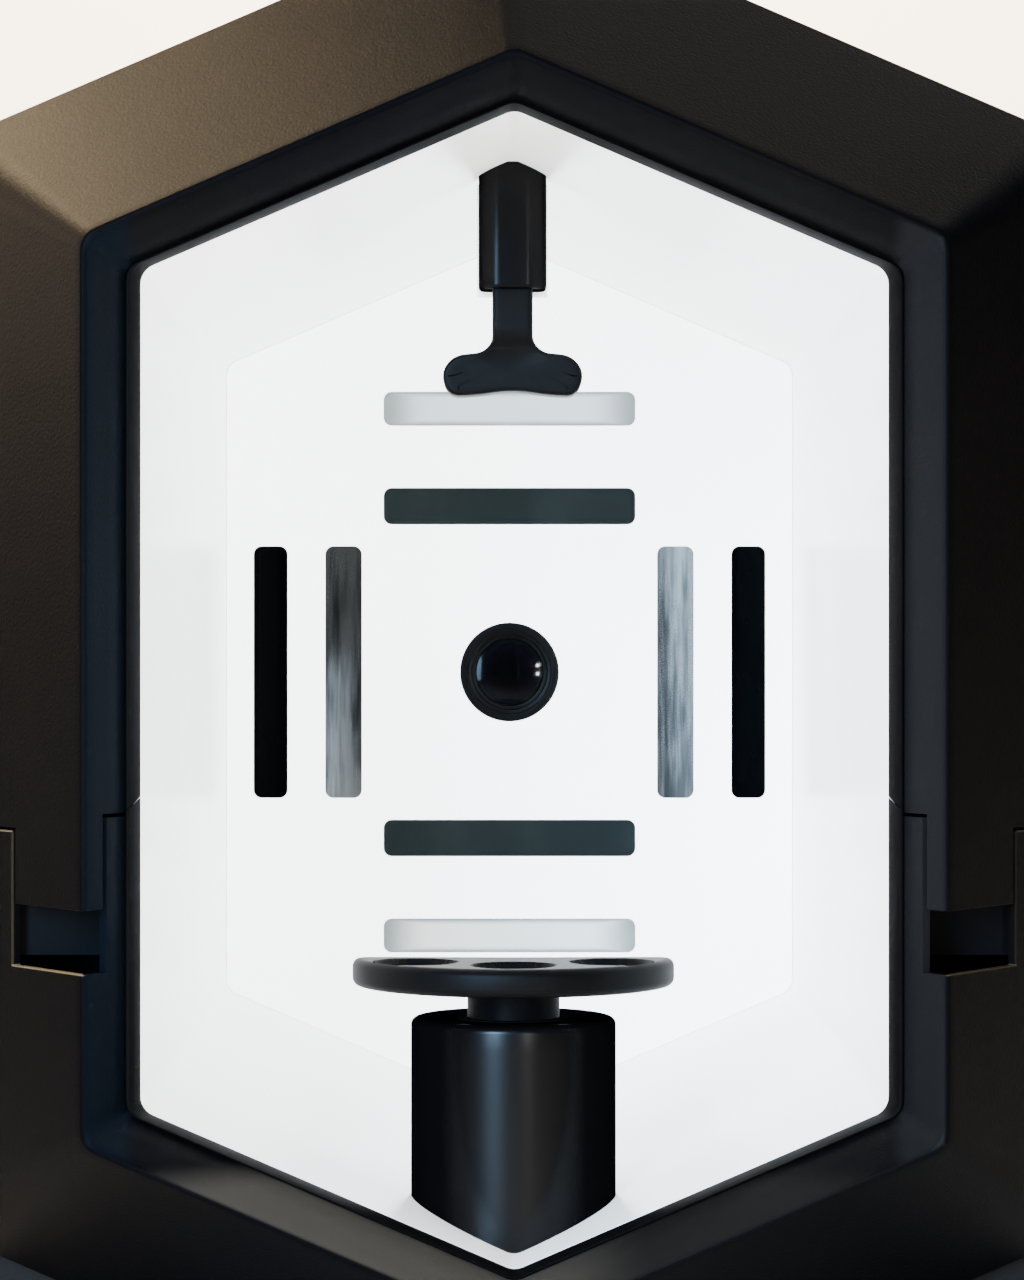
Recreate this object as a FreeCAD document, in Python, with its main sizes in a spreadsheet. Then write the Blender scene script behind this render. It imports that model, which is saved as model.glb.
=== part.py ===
import FreeCAD, Part
import Sketcher
import math
import os
from FreeCAD import Placement, Rotation, Vector

# A table-top face-imaging booth.  +X is the sitter's right-hand side of the front, +Y runs from
# the open front to the back cover, +Z is up.  The origin is under the middle of the feet.

os.makedirs("parts", exist_ok=True)
doc = FreeCAD.newDocument("FaceImagingBooth")
sheet = doc.addObject("Spreadsheet::Sheet", "Dims")
nodes = []


class Size:
    """A length that keeps the formula it came from, so that it can drive a property."""

    def __init__(self, formula, value):
        self.formula = formula
        self.value = value

    def joined(self, sign, other, value):
        return Size(f"({self.formula} {sign} {formulaOf(other)})", value)

    def __add__(self, other):
        return self.joined("+", other, self.value + valueOf(other))

    def __sub__(self, other):
        return self.joined("-", other, self.value - valueOf(other))

    def __mul__(self, other):
        return self.joined("*", other, self.value * valueOf(other))

    def __truediv__(self, other):
        return self.joined("/", other, self.value / valueOf(other))

    def __rsub__(self, other):
        return Size(formulaOf(other), other) - self

    def __neg__(self):
        return Size(f"(-1 * {self.formula})", -self.value)

    __radd__ = __add__
    __rmul__ = __mul__


def valueOf(size):
    return size.value if isinstance(size, Size) else size


def formulaOf(size):
    return size.formula if isinstance(size, Size) else f"({size})"


def dim(alias, value, note):
    """One driving dimension: a row of the sheet with its alias, number and meaning."""
    row = len(sheet.getUsedCells()) // 3 + 1
    sheet.set(f"A{row}", alias)
    sheet.set(f"B{row}", str(value))
    sheet.set(f"C{row}", note)
    sheet.setAlias(f"B{row}", alias)
    return Size(f"Dims.{alias}", value)


# ---- driving dimensions, mm ----
overallDepth = dim("overallDepth", 440, "front edge to back face")
centreHeight = dim("centreHeight", 252, "table to the middle of the opening")
roofSlope = dim("roofSlope", 0.43, "rise of the upper facets over their run")
frontHalfWidth = dim("frontHalfWidth", 121.5, "half width of the front edge")
frontHalfHeight = dim("frontHalfHeight", 180.4, "middle to apex of the front edge")
mouthHalfWidth = dim("mouthHalfWidth", 111.7, "half width where the mouth chamfer ends")
mouthHalfHeight = dim("mouthHalfHeight", 169.5, "middle to apex where the mouth chamfer ends")
mouthDepth = dim("mouthDepth", 18, "depth of the mouth chamfer")
chamberHalfWidth = dim("chamberHalfWidth", 107.5, "half width of the light chamber")
chamberHalfHeight = dim("chamberHalfHeight", 164.8, "middle to apex of the light chamber")
outerHalfWidth = dim("outerHalfWidth", 172, "half width of the housing")
outerHalfHeight = dim("outerHalfHeight", 237.6, "middle to apex of the housing")
facetDepth = dim("facetDepth", 70, "depth of the slanted front facets")
frontRadius = dim("frontRadius", 7, "corner radius at the front edge")
outerRadius = dim("outerRadius", 20, "corner radius of the housing")
chamberRadius = dim("chamberRadius", 6, "corner radius of the light chamber")
shellWall = dim("shellWall", 3, "wall of the moulded shells")
linerWall = dim("linerWall", 2.5, "wall of the light chamber")
frontLand = dim("frontLand", 0.8, "flat land along the front edge")
collarDepth = dim("collarDepth", 6, "collar behind the mouth that takes the bezel")
seamGap = dim("seamGap", 1, "visible seam between shells")
fitGap = dim("fitGap", 0.2, "clearance of fixed pieces")
slideGap = dim("slideGap", 0.05, "radial clearance of sliding and turning fits")
seamHeight = dim("seamHeight", 40, "side seam below the middle")
tongueInner = dim("tongueInner", 116.9, "inner edge of the side tongue")
tongueOuter = dim("tongueOuter", 144.7, "outer edge of the side tongue")
tongueBottom = dim("tongueBottom", 62, "tongue end below the middle")
notchBottom = dim("notchBottom", 80, "notch floor below the middle")
earHeight = dim("earHeight", 35, "seam across the mouth chamfer, below the middle")
bezelSeamHeight = dim("bezelSeamHeight", 30.5, "bezel seam below the middle")
bezelWidth = dim("bezelWidth", 1.2, "front land of the bezel")
hingeRise = dim("hingeRise", 1.5, "hinge axis above the ridge")
hingeRadius = dim("hingeRadius", 5, "hinge barrel radius")
hingePinRadius = dim("hingePinRadius", 1.5, "hinge pin radius")
knuckleHalf = dim("knuckleHalf", 8, "half length of the middle knuckle")
hingeHalf = dim("hingeHalf", 18, "half length of the whole hinge")
catchDepth = dim("catchDepth", 40, "catch block face from the front edge")
strikeThickness = dim("strikeThickness", 1.2, "steel strike plate thickness")
strikeWidth = dim("strikeWidth", 12, "steel strike plate width")
strikeHeight = dim("strikeHeight", 10, "steel strike plate height")
hingeWebDrop = dim("hingeWebDrop", 10, "depth of the hinge webs under the axis")
backTaperStart = dim("backTaperStart", 390, "depth where the housing starts to taper")
backTaperInset = dim("backTaperInset", 14, "inset of the housing at its rear rim")
coverThickness = dim("coverThickness", 3, "wall of the back cover")
coverDepth = dim("coverDepth", 10, "depth of the back cover")
bulkheadThickness = dim("bulkheadThickness", 3, "thickness of the two bulkheads")
bulkheadSetback = dim("bulkheadSetback", 8, "front bulkhead behind the facets")
panelDepth = dim("panelDepth", 373, "front face of the rear light panel")
panelThickness = dim("panelThickness", 3, "thickness of the rear light panel")
lensHeight = dim("lensHeight", 2, "lens axis above the middle")
lensHoleRadius = dim("lensHoleRadius", 18.8, "lens opening in the panel")
barrelRadius = dim("barrelRadius", 16.5, "lens barrel radius")
lensGlassRadius = dim("lensGlassRadius", 12.5, "front glass radius")
barrelLength = dim("barrelLength", 26, "lens barrel length")
focusRingLength = dim("focusRingLength", 10, "focus ring length")
focusRingWall = dim("focusRingWall", 3, "focus ring wall")
cameraHalf = dim("cameraHalf", 29, "half size of the camera body")
innerWindowWidth = dim("innerWindowWidth", 13.7, "width of the inner windows")
outerWindowWidth = dim("outerWindowWidth", 12.7, "width of the outer windows")
sideWindowInset = dim("sideWindowInset", 16.8, "outer side windows from the chamber wall")
windowPitch = dim("windowPitch", 27.7, "inner windows from the outer side windows")
outerPitch = dim("outerPitch", 37, "outer top and bottom windows from the inner ones")
windowCornerGap = dim("windowCornerGap", 15.3, "ends of the windows from the inner ones' corner")
windowThickness = dim("windowThickness", 2, "thickness of the windows")
windowRadius = dim("windowRadius", 3, "corner radius of the windows")
windowLedge = dim("windowLedge", 1.2, "ledge that each window sits on")
ledBoardWidth = dim("ledBoardWidth", 20, "width of the lamp boards")
boardThickness = dim("boardThickness", 1.6, "thickness of the circuit boards")
ledSize = dim("ledSize", 3, "side of one lamp chip")
fanSize = dim("fanSize", 80, "side of the fan frame")
fanThickness = dim("fanThickness", 20, "thickness of the fan")
fanHeight = dim("fanHeight", 95, "fan axis above the middle")
buttonX = dim("buttonX", 48, "power button from the middle")
buttonRadius = dim("buttonRadius", 8, "power button radius")
buttonTravel = dim("buttonTravel", 2.5, "power button travel")
buttonLength = dim("buttonLength", 7, "power button length")
boardSetback = dim("boardSetback", 9, "control board from the cover's inner face")
socketHeight = dim("socketHeight", 112, "socket row below the middle")
columnRadius = dim("columnRadius", 31, "chin column radius")
columnDepth = dim("columnDepth", 80.8, "chin column axis from the front edge")
columnTop = dim("columnTop", 99.5, "chin column top below the middle")
stemRadius = dim("stemRadius", 13.95, "chin stem radius")
stemEngagement = dim("stemEngagement", 40, "chin stem inside the column")
bushingWall = dim("bushingWall", 3, "wall of the column bushing")
bushingLength = dim("bushingLength", 26, "length of the column bushing")
chinTop = dim("chinTop", 82.1, "chin plate top below the middle")
chinThickness = dim("chinThickness", 8.5, "chin plate thickness")
chinRadius = dim("chinRadius", 49.5, "chin plate front radius")
chinFront = dim("chinFront", 42, "chin plate front from the front edge")
chinBack = dim("chinBack", 89, "chin plate back from the front edge")
dishRadius = dim("dishRadius", 12.5, "radius of each chin dish")
dishDepth = dim("dishDepth", 3.8, "depth of each chin dish")
dishSpacing = dim("dishSpacing", 29.5, "outer dishes from the middle one")
sleeveFront = dim("sleeveFront", 131, "forehead sleeve from the front edge")
sleeveWidth = dim("sleeveWidth", 21.5, "forehead sleeve width")
sleeveFlat = dim("sleeveFlat", 13, "flat front of the forehead sleeve")
sleeveBevel = dim("sleeveBevel", 4, "depth of the sleeve's side bevels")
sleeveDepth = dim("sleeveDepth", 16, "forehead sleeve depth")
sleeveBottom = dim("sleeveBottom", 125.6, "forehead sleeve end above the middle")
restStemWidth = dim("restStemWidth", 12.8, "forehead stem width")
restStemDepth = dim("restStemDepth", 7, "forehead stem depth")
restWidth = dim("restWidth", 43.6, "forehead pad width")
restTop = dim("restTop", 105.4, "forehead pad top above the middle")
restBottom = dim("restBottom", 91.5, "forehead pad bottom above the middle")
restFront = dim("restFront", 128, "forehead pad from the front edge")
plinthHalfWidth = dim("plinthHalfWidth", 160, "half width of the plinth")
plinthSetback = dim("plinthSetback", 75, "plinth front behind the front edge")
plinthLength = dim("plinthLength", 325, "plinth front to back")
footHeight = dim("footHeight", 4, "rubber foot height")
footRadius = dim("footRadius", 12, "rubber foot radius")
screwRadius = dim("screwRadius", 1.5, "fixing screw shank radius")
pillarRadius = dim("pillarRadius", 5, "back cover pillar radius")
doc.recompute()

rim = Size("sqrt(1 + Dims.roofSlope^2)", math.sqrt(1 + roofSlope.value**2))
facetWall = shellWall * 1.25    # in-plane wall of the slanted facets


def deep(depth):
    """Y of a depth behind the front edge."""
    return depth - overallDepth / 2


def high(height):
    """Z of a height above the middle of the opening."""
    return centreHeight + height


def scaled(width, height, growth):
    """A hexagon's half width and apex height, grown evenly by a wall or a clearance."""
    return width + growth, height + rim * growth


def facetAt(depth, growth=0):
    """The slanted facets' hexagon at a depth."""
    width = frontHalfWidth + (outerHalfWidth - frontHalfWidth) * depth / facetDepth
    height = frontHalfHeight + (outerHalfHeight - frontHalfHeight) * depth / facetDepth
    return scaled(width, height, growth)


# ---- sketches and bodies ----
def newBody(name):
    return doc.addObject("PartDesign::Body", name)


def newSketch(body, role, offsets):
    """A sketch on one of the body's own origin planes, moved along its local axes."""
    sketch = body.newObject("Sketcher::SketchObject", f"{body.Name}_sketch")
    plane = next(item for item in body.Origin.OriginFeatures if item.Role == role)
    sketch.AttachmentSupport = [(plane, "")]
    sketch.MapMode = "FlatFace"
    for axis, size in offsets.items():
        sketch.setExpression(f"AttachmentOffset.Base.{axis}", formulaOf(size))
    return sketch


def frontSketch(body, depth):
    """A sketch that faces the front, centred on the opening, at a depth."""
    return newSketch(body, "XZ_Plane", {"y": centreHeight, "z": -deep(depth)})


def drive(sketch, constraint, size):
    index = sketch.addConstraint(constraint)
    if isinstance(size, Size):
        sketch.setExpression(f"Constraints[{index}]", size.formula)


def pinPoint(sketch, curve, point, x, y):
    """Fixes a point by its distances from the sketch's axes."""
    for kind, size, axis in (("DistanceX", x, -2), ("DistanceY", y, -1)):
        number = valueOf(size)
        if number == 0:
            sketch.addConstraint(Sketcher.Constraint("PointOnObject", curve, point, axis))
        elif number > 0:
            drive(sketch, Sketcher.Constraint(kind, -1, 1, curve, point, number), size)
        else:
            drive(sketch, Sketcher.Constraint(kind, curve, point, -1, 1, -number), -size)


def hexSketch(body, depth, width, height, radius):
    """A tall hexagon with rounded corners; its corner arcs run from one facet normal to the next."""
    sketch = frontSketch(body, depth)
    apexZ = height - radius * rim
    sideX = width - radius
    sideZ = height - roofSlope * sideX - radius * rim
    centres = [(0, apexZ), (sideX, sideZ), (sideX, -sideZ),
               (0, -apexZ), (-sideX, -sideZ), (-sideX, sideZ)]
    tilt = math.atan2(1, roofSlope.value)
    normals = [tilt, 0, -tilt, tilt - math.pi, math.pi, math.pi - tilt]
    reach = valueOf(radius)
    arcs = []
    ends = []
    for corner, (x, y) in enumerate(centres):
        centre = Vector(valueOf(x), valueOf(y), 0)
        start, stop = normals[corner], normals[corner - 1]
        stop = stop + 2 * math.pi if stop < start else stop
        arc = Part.ArcOfCircle(Part.Circle(centre, Vector(0, 0, 1), reach), start, stop)
        arcs.append(sketch.addGeometry(arc))
        ends.append((arc.StartPoint, arc.EndPoint))
    for corner in range(6):
        after = (corner + 1) % 6
        line = sketch.addGeometry(Part.LineSegment(ends[corner][0], ends[after][1]))
        sketch.addConstraint(Sketcher.Constraint("Tangent", arcs[corner], 1, line, 1))
        sketch.addConstraint(Sketcher.Constraint("Tangent", line, 2, arcs[after], 2))
    drive(sketch, Sketcher.Constraint("Radius", arcs[0], reach), radius)
    for corner, (x, y) in enumerate(centres):
        pinPoint(sketch, arcs[corner], 3, x, y)
        if corner:
            sketch.addConstraint(Sketcher.Constraint("Equal", arcs[0], arcs[corner]))
    return sketch


def outline(sketch, corners):
    """A closed straight-sided outline through the corners."""
    points = [Vector(valueOf(x), valueOf(y), 0) for x, y in corners]
    lines = [sketch.addGeometry(Part.LineSegment(points[i - 1], points[i])) for i in range(len(points))]
    for i, line in enumerate(lines):
        sketch.addConstraint(Sketcher.Constraint("Coincident", line, 1, lines[i - 1], 2))
        pinPoint(sketch, line, 2, *corners[i])
    return sketch


def loft(body, kind, stations):
    """A straight-sided loft through hexagons: each station is depth, half width, apex, radius."""
    sketches = [hexSketch(body, *station) for station in stations]
    feature = body.newObject(f"PartDesign::{kind}Loft", f"{body.Name}_{kind}")
    feature.Profile = (sketches[0], [""])
    feature.Sections = sketches[1:]
    feature.Ruled = True
    return feature


def pad(body, sketch, length, reverse=False):
    feature = body.newObject("PartDesign::Pad", f"{body.Name}_pad")
    feature.Profile = (sketch, [""])
    feature.setExpression("Length", formulaOf(length))
    feature.Reversed = reverse
    return feature


def trim(body, sketch):
    """Cuts the outline right through, both ways."""
    feature = body.newObject("PartDesign::Pocket", f"{body.Name}_trim")
    feature.Profile = (sketch, [""])
    feature.SideType = "Two sides"
    feature.Type = "ThroughAll"
    feature.Type2 = "ThroughAll"
    return feature


# ---- primitives and booleans ----
def placeAt(thing, x, y, z):
    for axis, size in zip("xyz", (x, y, z)):
        thing.setExpression(f"Placement.Base.{axis}", formulaOf(size))
    return thing


def box(name, sizes, corner):
    thing = doc.addObject("Part::Box", name)
    for side, size in zip(("Length", "Width", "Height"), sizes):
        thing.setExpression(side, formulaOf(size))
    return placeAt(thing, *corner)


turns = {"x": Rotation(Vector(0, 1, 0), 90), "y": Rotation(Vector(1, 0, 0), -90), "z": Rotation()}


def rod(name, radius, length, start, along="y"):
    thing = doc.addObject("Part::Cylinder", name)
    thing.Placement = Placement(Vector(), turns[along])
    thing.setExpression("Radius", formulaOf(radius))
    thing.setExpression("Height", formulaOf(length))
    return placeAt(thing, *start)


def ball(name, radius, centre):
    thing = doc.addObject("Part::Sphere", name)
    thing.setExpression("Radius", formulaOf(radius))
    return placeAt(thing, *centre)


def fuse(name, *pieces):
    thing = doc.addObject("Part::MultiFuse", name)
    thing.Shapes = list(pieces)
    return thing


def cut(name, base, *tools):
    thing = doc.addObject("Part::Cut", name)
    thing.Base = base
    thing.Tool = tools[0] if len(tools) == 1 else fuse(f"{name}_tools", *tools)
    return thing


def common(name, base, tool):
    thing = doc.addObject("Part::Common", name)
    thing.Base = base
    thing.Tool = tool
    return thing


def group(name, *pieces):
    thing = doc.addObject("Part::Compound", name)
    thing.Links = list(pieces)
    return thing


def finished(thing, label):
    """Names a finished sub-part, which is then written out."""
    thing.Label = label
    nodes.append(thing)
    return thing


def ring(name, outer, inner, length, start, along="y"):
    return cut(name, rod(f"{name}_outer", outer, length, start, along),
               rod(f"{name}_inner", inner, length, start, along))


# ---- front shells ----
def seamCorners(rise, gap, above):
    """The split line between the two front shells, closed around the side that is cut away."""
    reach = outerHalfWidth * 2
    inner = tongueInner - gap
    outer = tongueOuter + gap
    floor = notchBottom if above else tongueBottom
    side = [(reach, -seamHeight - rise), (outer, -seamHeight - rise), (outer, -floor),
            (inner, -floor), (inner, -earHeight - rise), (mouthHalfWidth, -earHeight - rise),
            (chamberHalfWidth, -bezelSeamHeight - rise)]
    mirrored = [(-x, z) for x, z in reversed(side)]
    far = reach if above else -reach
    return side + mirrored + [(-reach, far), (reach, far)]


noGap = Size("0", 0)
ringRear = facetDepth
spigotStart = facetDepth - 4
spigotEnd = facetDepth + bulkheadSetback - fitGap
lipStart = mouthDepth / 4    # where the facet wall and the mouth wall part
mouthWall = shellWall
collarEnd = mouthDepth + collarDepth
housingInner = scaled(outerHalfWidth, outerHalfHeight, -shellWall)


def frontRing(name, above):
    """Facets, mouth chamfer and bezel collar of one front shell, cut off at the seam."""
    body = newBody(name)
    facets = [(noGap, *facetAt(noGap), frontRadius), (ringRear, *facetAt(ringRear), outerRadius)]
    loft(body, "Additive", facets)
    cavity = [(lipStart, *facetAt(lipStart, -facetWall), frontRadius)]
    if above:
        spigot = scaled(*housingInner, -fitGap)
        spigotWall = -shellWall
        loft(body, "Additive", [(spigotStart, *spigot, outerRadius), (spigotEnd, *spigot, outerRadius)])
        cavity.append((spigotStart, *facetAt(spigotStart, -facetWall), outerRadius))
        cavity.append((spigotEnd, *scaled(*spigot, spigotWall), outerRadius))
    else:
        cavity.append((ringRear, *facetAt(ringRear, -facetWall), outerRadius))
    loft(body, "Subtractive", cavity)
    collar = scaled(mouthHalfWidth, mouthHalfHeight, mouthWall)
    loft(body, "Additive", [(lipStart, *facetAt(lipStart, -facetWall), frontRadius),
                            (mouthDepth, *collar, frontRadius), (collarEnd, *collar, frontRadius)])
    loft(body, "Subtractive", [(noGap, *facetAt(noGap, -frontLand), frontRadius),
                               (mouthDepth, mouthHalfWidth, mouthHalfHeight, chamberRadius),
                               (collarEnd, mouthHalfWidth, mouthHalfHeight, chamberRadius)])
    sketch = frontSketch(body, noGap)
    gap = seamGap if above else noGap
    trim(body, outline(sketch, seamCorners(gap, gap, above)))
    return body


hingeY = deep(facetDepth + seamGap / 2)
hingeZ = high(outerHalfHeight + hingeRise)
webBottom = hingeZ - hingeWebDrop
webHeight = hingeWebDrop - hingeRise
webReach = hingeRadius + 1.5
knuckleRelief = hingeRadius + 0.8
outerKnuckleStart = knuckleHalf + 0.3
outerKnuckleLength = hingeHalf - outerKnuckleStart

# the boss behind each tongue carries a steel strike plate that the catch magnet holds
strikeFace = catchDepth - fitGap
strikeX = (tongueInner + tongueOuter) / 2 - strikeWidth / 2
strikeZ = high(-tongueBottom + 4)


def bothSides(name, maker):
    """The same piece on the right and, mirrored in place, on the left."""
    return [maker(f"{name}_right", 1), maker(f"{name}_left", -1)]


def sideBox(name, x, side, sizes, y, z):
    corner = x if side > 0 else -x - sizes[0]
    return box(name, sizes, (corner, y, z))


cowlBody = frontRing("cowl_ring", False)
tongueFaceDepth = (strikeX - frontHalfWidth) * facetDepth / (outerHalfWidth - frontHalfWidth)
bossStart = tongueFaceDepth + facetWall * 0.7
bossLength = strikeFace - strikeThickness - bossStart
cowlBosses = bothSides("cowl_boss", lambda name, side: sideBox(
    name, strikeX, side, (strikeWidth, bossLength, strikeHeight), deep(bossStart), strikeZ))
cowlOuterSkin = newBody("cowl_skin")
loft(cowlOuterSkin, "Additive", [(noGap, *facetAt(noGap, -0.5), frontRadius),
                                 (facetDepth, *facetAt(facetDepth, -0.5), outerRadius)])
bosses = common("cowl_bosses", group("cowl_boss_pair", *cowlBosses), cowlOuterSkin)
cowlReliefs = bothSides("cowl_relief", lambda name, side: rod(
    name, knuckleRelief, outerKnuckleLength + 1,
    (outerKnuckleStart - 0.3 if side > 0 else -hingeHalf - 0.7, hingeY, hingeZ), "x"))
cowlTrimmed = cut("cowl_trimmed", fuse("cowl_with_bosses", cowlBody, bosses), *cowlReliefs)
cowlKnuckle = rod("cowl_knuckle", hingeRadius, knuckleHalf * 2, (-knuckleHalf, hingeY, hingeZ), "x")
cowlWeb = box("cowl_web", (knuckleHalf * 2, webReach, webHeight),
              (-knuckleHalf, hingeY - webReach, webBottom))
cowlBore = rod("cowl_bore", hingePinRadius + slideGap, knuckleHalf * 2 + 2,
               (-knuckleHalf - 1, hingeY, hingeZ), "x")
finished(cut("cowl", fuse("cowl_fused", cowlTrimmed, cowlKnuckle, cowlWeb), cowlBore), "upper_cowl")
finished(group("strikes", *bothSides("strike", lambda name, side: sideBox(
    name, strikeX, side, (strikeWidth, strikeThickness, strikeHeight),
    deep(strikeFace - strikeThickness), strikeZ))), "strike_plates")
finished(frontRing("lower_ring", True), "lower_front_shell")


def bezel(name, above):
    """A narrow ring inside the collar; its inner face slopes back to the light chamber."""
    body = newBody(name)
    seat = scaled(mouthHalfWidth, mouthHalfHeight, -fitGap)
    start = mouthDepth - 0.5
    loft(body, "Additive", [(start, *seat, chamberRadius), (collarEnd, *seat, chamberRadius)])
    loft(body, "Subtractive", [(start, *scaled(*seat, -bezelWidth), chamberRadius),
                               (collarEnd, chamberHalfWidth, chamberHalfHeight, chamberRadius)])
    gap = seamGap / 2 if above else -seamGap / 2
    trim(body, outline(frontSketch(body, noGap), seamCorners(gap + seamGap / 2, noGap, above)))
    return body


finished(bezel("bezel_upper", False), "upper_bezel")
finished(bezel("bezel_lower", True), "lower_bezel")


# ---- housing ----
rearRim = overallDepth - coverDepth
housingFront = facetDepth + seamGap
rearSeat = scaled(outerHalfWidth, outerHalfHeight, -backTaperInset)


def housingBlock(name, growth, front):
    body = newBody(name)
    loft(body, "Additive", [(front, *scaled(outerHalfWidth, outerHalfHeight, growth), outerRadius),
                            (backTaperStart, *scaled(outerHalfWidth, outerHalfHeight, growth), outerRadius),
                            (rearRim, *scaled(*rearSeat, growth), outerRadius)])
    return body


housingBody = housingBlock("housing_block", noGap, housingFront)
loft(housingBody, "Subtractive", [
    (housingFront, *housingInner, outerRadius), (backTaperStart, *housingInner, outerRadius),
    (rearRim, *scaled(*rearSeat, -shellWall), outerRadius)])
housingRelief = rod("housing_relief", knuckleRelief, knuckleHalf * 2 + 1,
                    (-knuckleHalf - 0.5, hingeY, hingeZ), "x")
knuckles = bothSides("housing_knuckle", lambda name, side: rod(
    name, hingeRadius, outerKnuckleLength,
    (outerKnuckleStart if side > 0 else -hingeHalf, hingeY, hingeZ), "x"))
webs = bothSides("housing_web", lambda name, side: sideBox(
    name, outerKnuckleStart, side, (outerKnuckleLength, webReach, webHeight), hingeY, webBottom))
pinBore = rod("housing_pin_bore", hingePinRadius, hingeHalf * 2 + 2, (-hingeHalf - 1, hingeY, hingeZ), "x")
housing = fuse("housing_fused", cut("housing_relieved", housingBody, housingRelief), *knuckles, *webs)
finished(cut("housing", housing, pinBore), "rear_housing")
finished(rod("pin", hingePinRadius, hingeHalf * 2, (-hingeHalf, hingeY, hingeZ), "x"), "hinge_pin")

# ---- bulkheads and catches ----
linerOuter = scaled(chamberHalfWidth, chamberHalfHeight, linerWall)
bulkheadSeat = scaled(*housingInner, -fitGap)
frontBulkheadAt = facetDepth + bulkheadSetback
rearBulkheadAt = panelDepth + panelThickness + fitGap


def hexPlate(name, start, thickness, outer, inner, radii):
    body = newBody(name)
    end = start + thickness
    loft(body, "Additive", [(start, *outer, radii[0]), (end, *outer, radii[0])])
    if inner:
        loft(body, "Subtractive", [(start, *inner, radii[1]), (end, *inner, radii[1])])
    return body


finished(hexPlate("bulkhead_front", frontBulkheadAt, bulkheadThickness, bulkheadSeat,
                  scaled(*linerOuter, fitGap), (outerRadius, chamberRadius)), "front_bulkhead")
rearOpening = scaled(chamberHalfWidth, chamberHalfHeight, linerWall - 8)
finished(hexPlate("bulkhead_rear", rearBulkheadAt, bulkheadThickness, bulkheadSeat,
                  rearOpening, (outerRadius, chamberRadius)), "rear_bulkhead")

blockLength = frontBulkheadAt - catchDepth
blockBottom = notchBottom - 2.5
blockHeight = blockBottom - seamHeight - 6
blockWidth = tongueOuter - tongueInner
magnetRadius = 4
magnetLength = 5
magnetZ = strikeZ + strikeHeight / 2
magnetX = strikeX + strikeWidth / 2


def magnet(name, side):
    x = magnetX if side > 0 else -magnetX
    return rod(name, magnetRadius, magnetLength, (x, deep(catchDepth), magnetZ))


blocks = bothSides("block", lambda name, side: sideBox(
    name, tongueInner, side, (blockWidth, blockLength, blockHeight), deep(catchDepth), high(-blockBottom)))
finished(cut("blocks", group("block_pair", *blocks), *bothSides("magnet_bore", magnet)), "catch_blocks")
finished(group("magnets", *bothSides("magnet", magnet)), "catch_magnets")

# ---- light chamber ----
linerFront = collarEnd + 0.3
linerLength = panelDepth + panelThickness - linerFront
finished(hexPlate("liner", linerFront, linerLength, linerOuter,
                  (chamberHalfWidth, chamberHalfHeight), (chamberRadius + linerWall, chamberRadius)),
         "light_chamber_liner")

lensZ = high(lensHeight)


# the four edges of a box that run front to back
depthEdges = [index + 1 for index, edge in enumerate(Part.makeBox(1, 1, 1).Edges)
              if abs(edge.tangentAt(0).y) > 0.5]


def windowBox(name, along, offset, width, growth, y, thickness):
    """A round-cornered bar centred on its light window; along is the window's long axis."""
    length = windowLength + growth * 2
    wide = width + growth * 2
    if along == "z":
        bar = box(name, (wide, thickness, length), (offset - wide / 2, y, lensZ - length / 2))
    else:
        bar = box(name, (length, thickness, wide), (-length / 2, y, lensZ + offset - wide / 2))
    corner = valueOf(windowRadius + growth)
    rounded = doc.addObject("Part::Fillet", f"{name}_rounded")
    rounded.Base = bar
    rounded.Edges = [(edge, corner, corner) for edge in depthEdges]
    return rounded


sideWindowOffset = chamberHalfWidth - sideWindowInset
innerWindowOffset = sideWindowOffset - windowPitch
topWindowOffset = innerWindowOffset + outerPitch
windowLength = (innerWindowOffset - windowCornerGap) * 2
windowKinds = {
    "uv_windows": ("z", sideWindowOffset, outerWindowWidth),
    "mirror_windows": ("z", innerWindowOffset, innerWindowWidth),
    "dark_filter_windows": ("x", innerWindowOffset, innerWindowWidth),
    "opal_diffusers": ("x", topWindowOffset, outerWindowWidth),
}
ledBoardY = deep(panelDepth + panelThickness + fitGap)
ledGrowth = 3.5
ledThickness = 0.7
ledCount = 6
windowCuts = []
ledBoards = []
ledChips = []


def ledRow(along, offset, side):
    """A row of lamp chips behind one window."""
    pitch = windowLength / ledCount
    chips = []
    for step in range(ledCount):
        run = pitch * (step + 0.5) - windowLength / 2 - ledSize / 2
        start = offset * side - ledSize / 2
        corner = (start, lensZ + run) if along == "z" else (run, lensZ + start)
        chips.append(box("chip", (ledSize, ledThickness, ledSize),
                         (corner[0], ledBoardY - ledThickness, corner[1])))
    return chips


for label, (along, offset, width) in windowKinds.items():
    glasses = []
    for side in (1, -1):
        spot = offset * side
        name = f"{label}_{'plus' if side > 0 else 'minus'}"
        glass = windowBox(name, along, spot, width, noGap, deep(panelDepth), windowThickness)
        glasses.append(glass)
        windowCuts.append(windowBox(f"{name}_seat", along, spot, width, fitGap / 2,
                                    deep(panelDepth), windowThickness))
        windowCuts.append(windowBox(f"{name}_hole", along, spot, width, -windowLedge,
                                    deep(panelDepth), panelThickness))
        boardWidth = ledBoardWidth - ledGrowth * 2
        ledBoards.append(windowBox(f"{name}_board", along, spot, boardWidth, ledGrowth,
                                   ledBoardY, boardThickness))
        ledChips.extend(ledRow(along, offset, side))
    finished(group(label, *glasses), label)
finished(group("boards", *ledBoards), "led_boards")
finished(group("chips", *ledChips), "led_chips")

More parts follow.
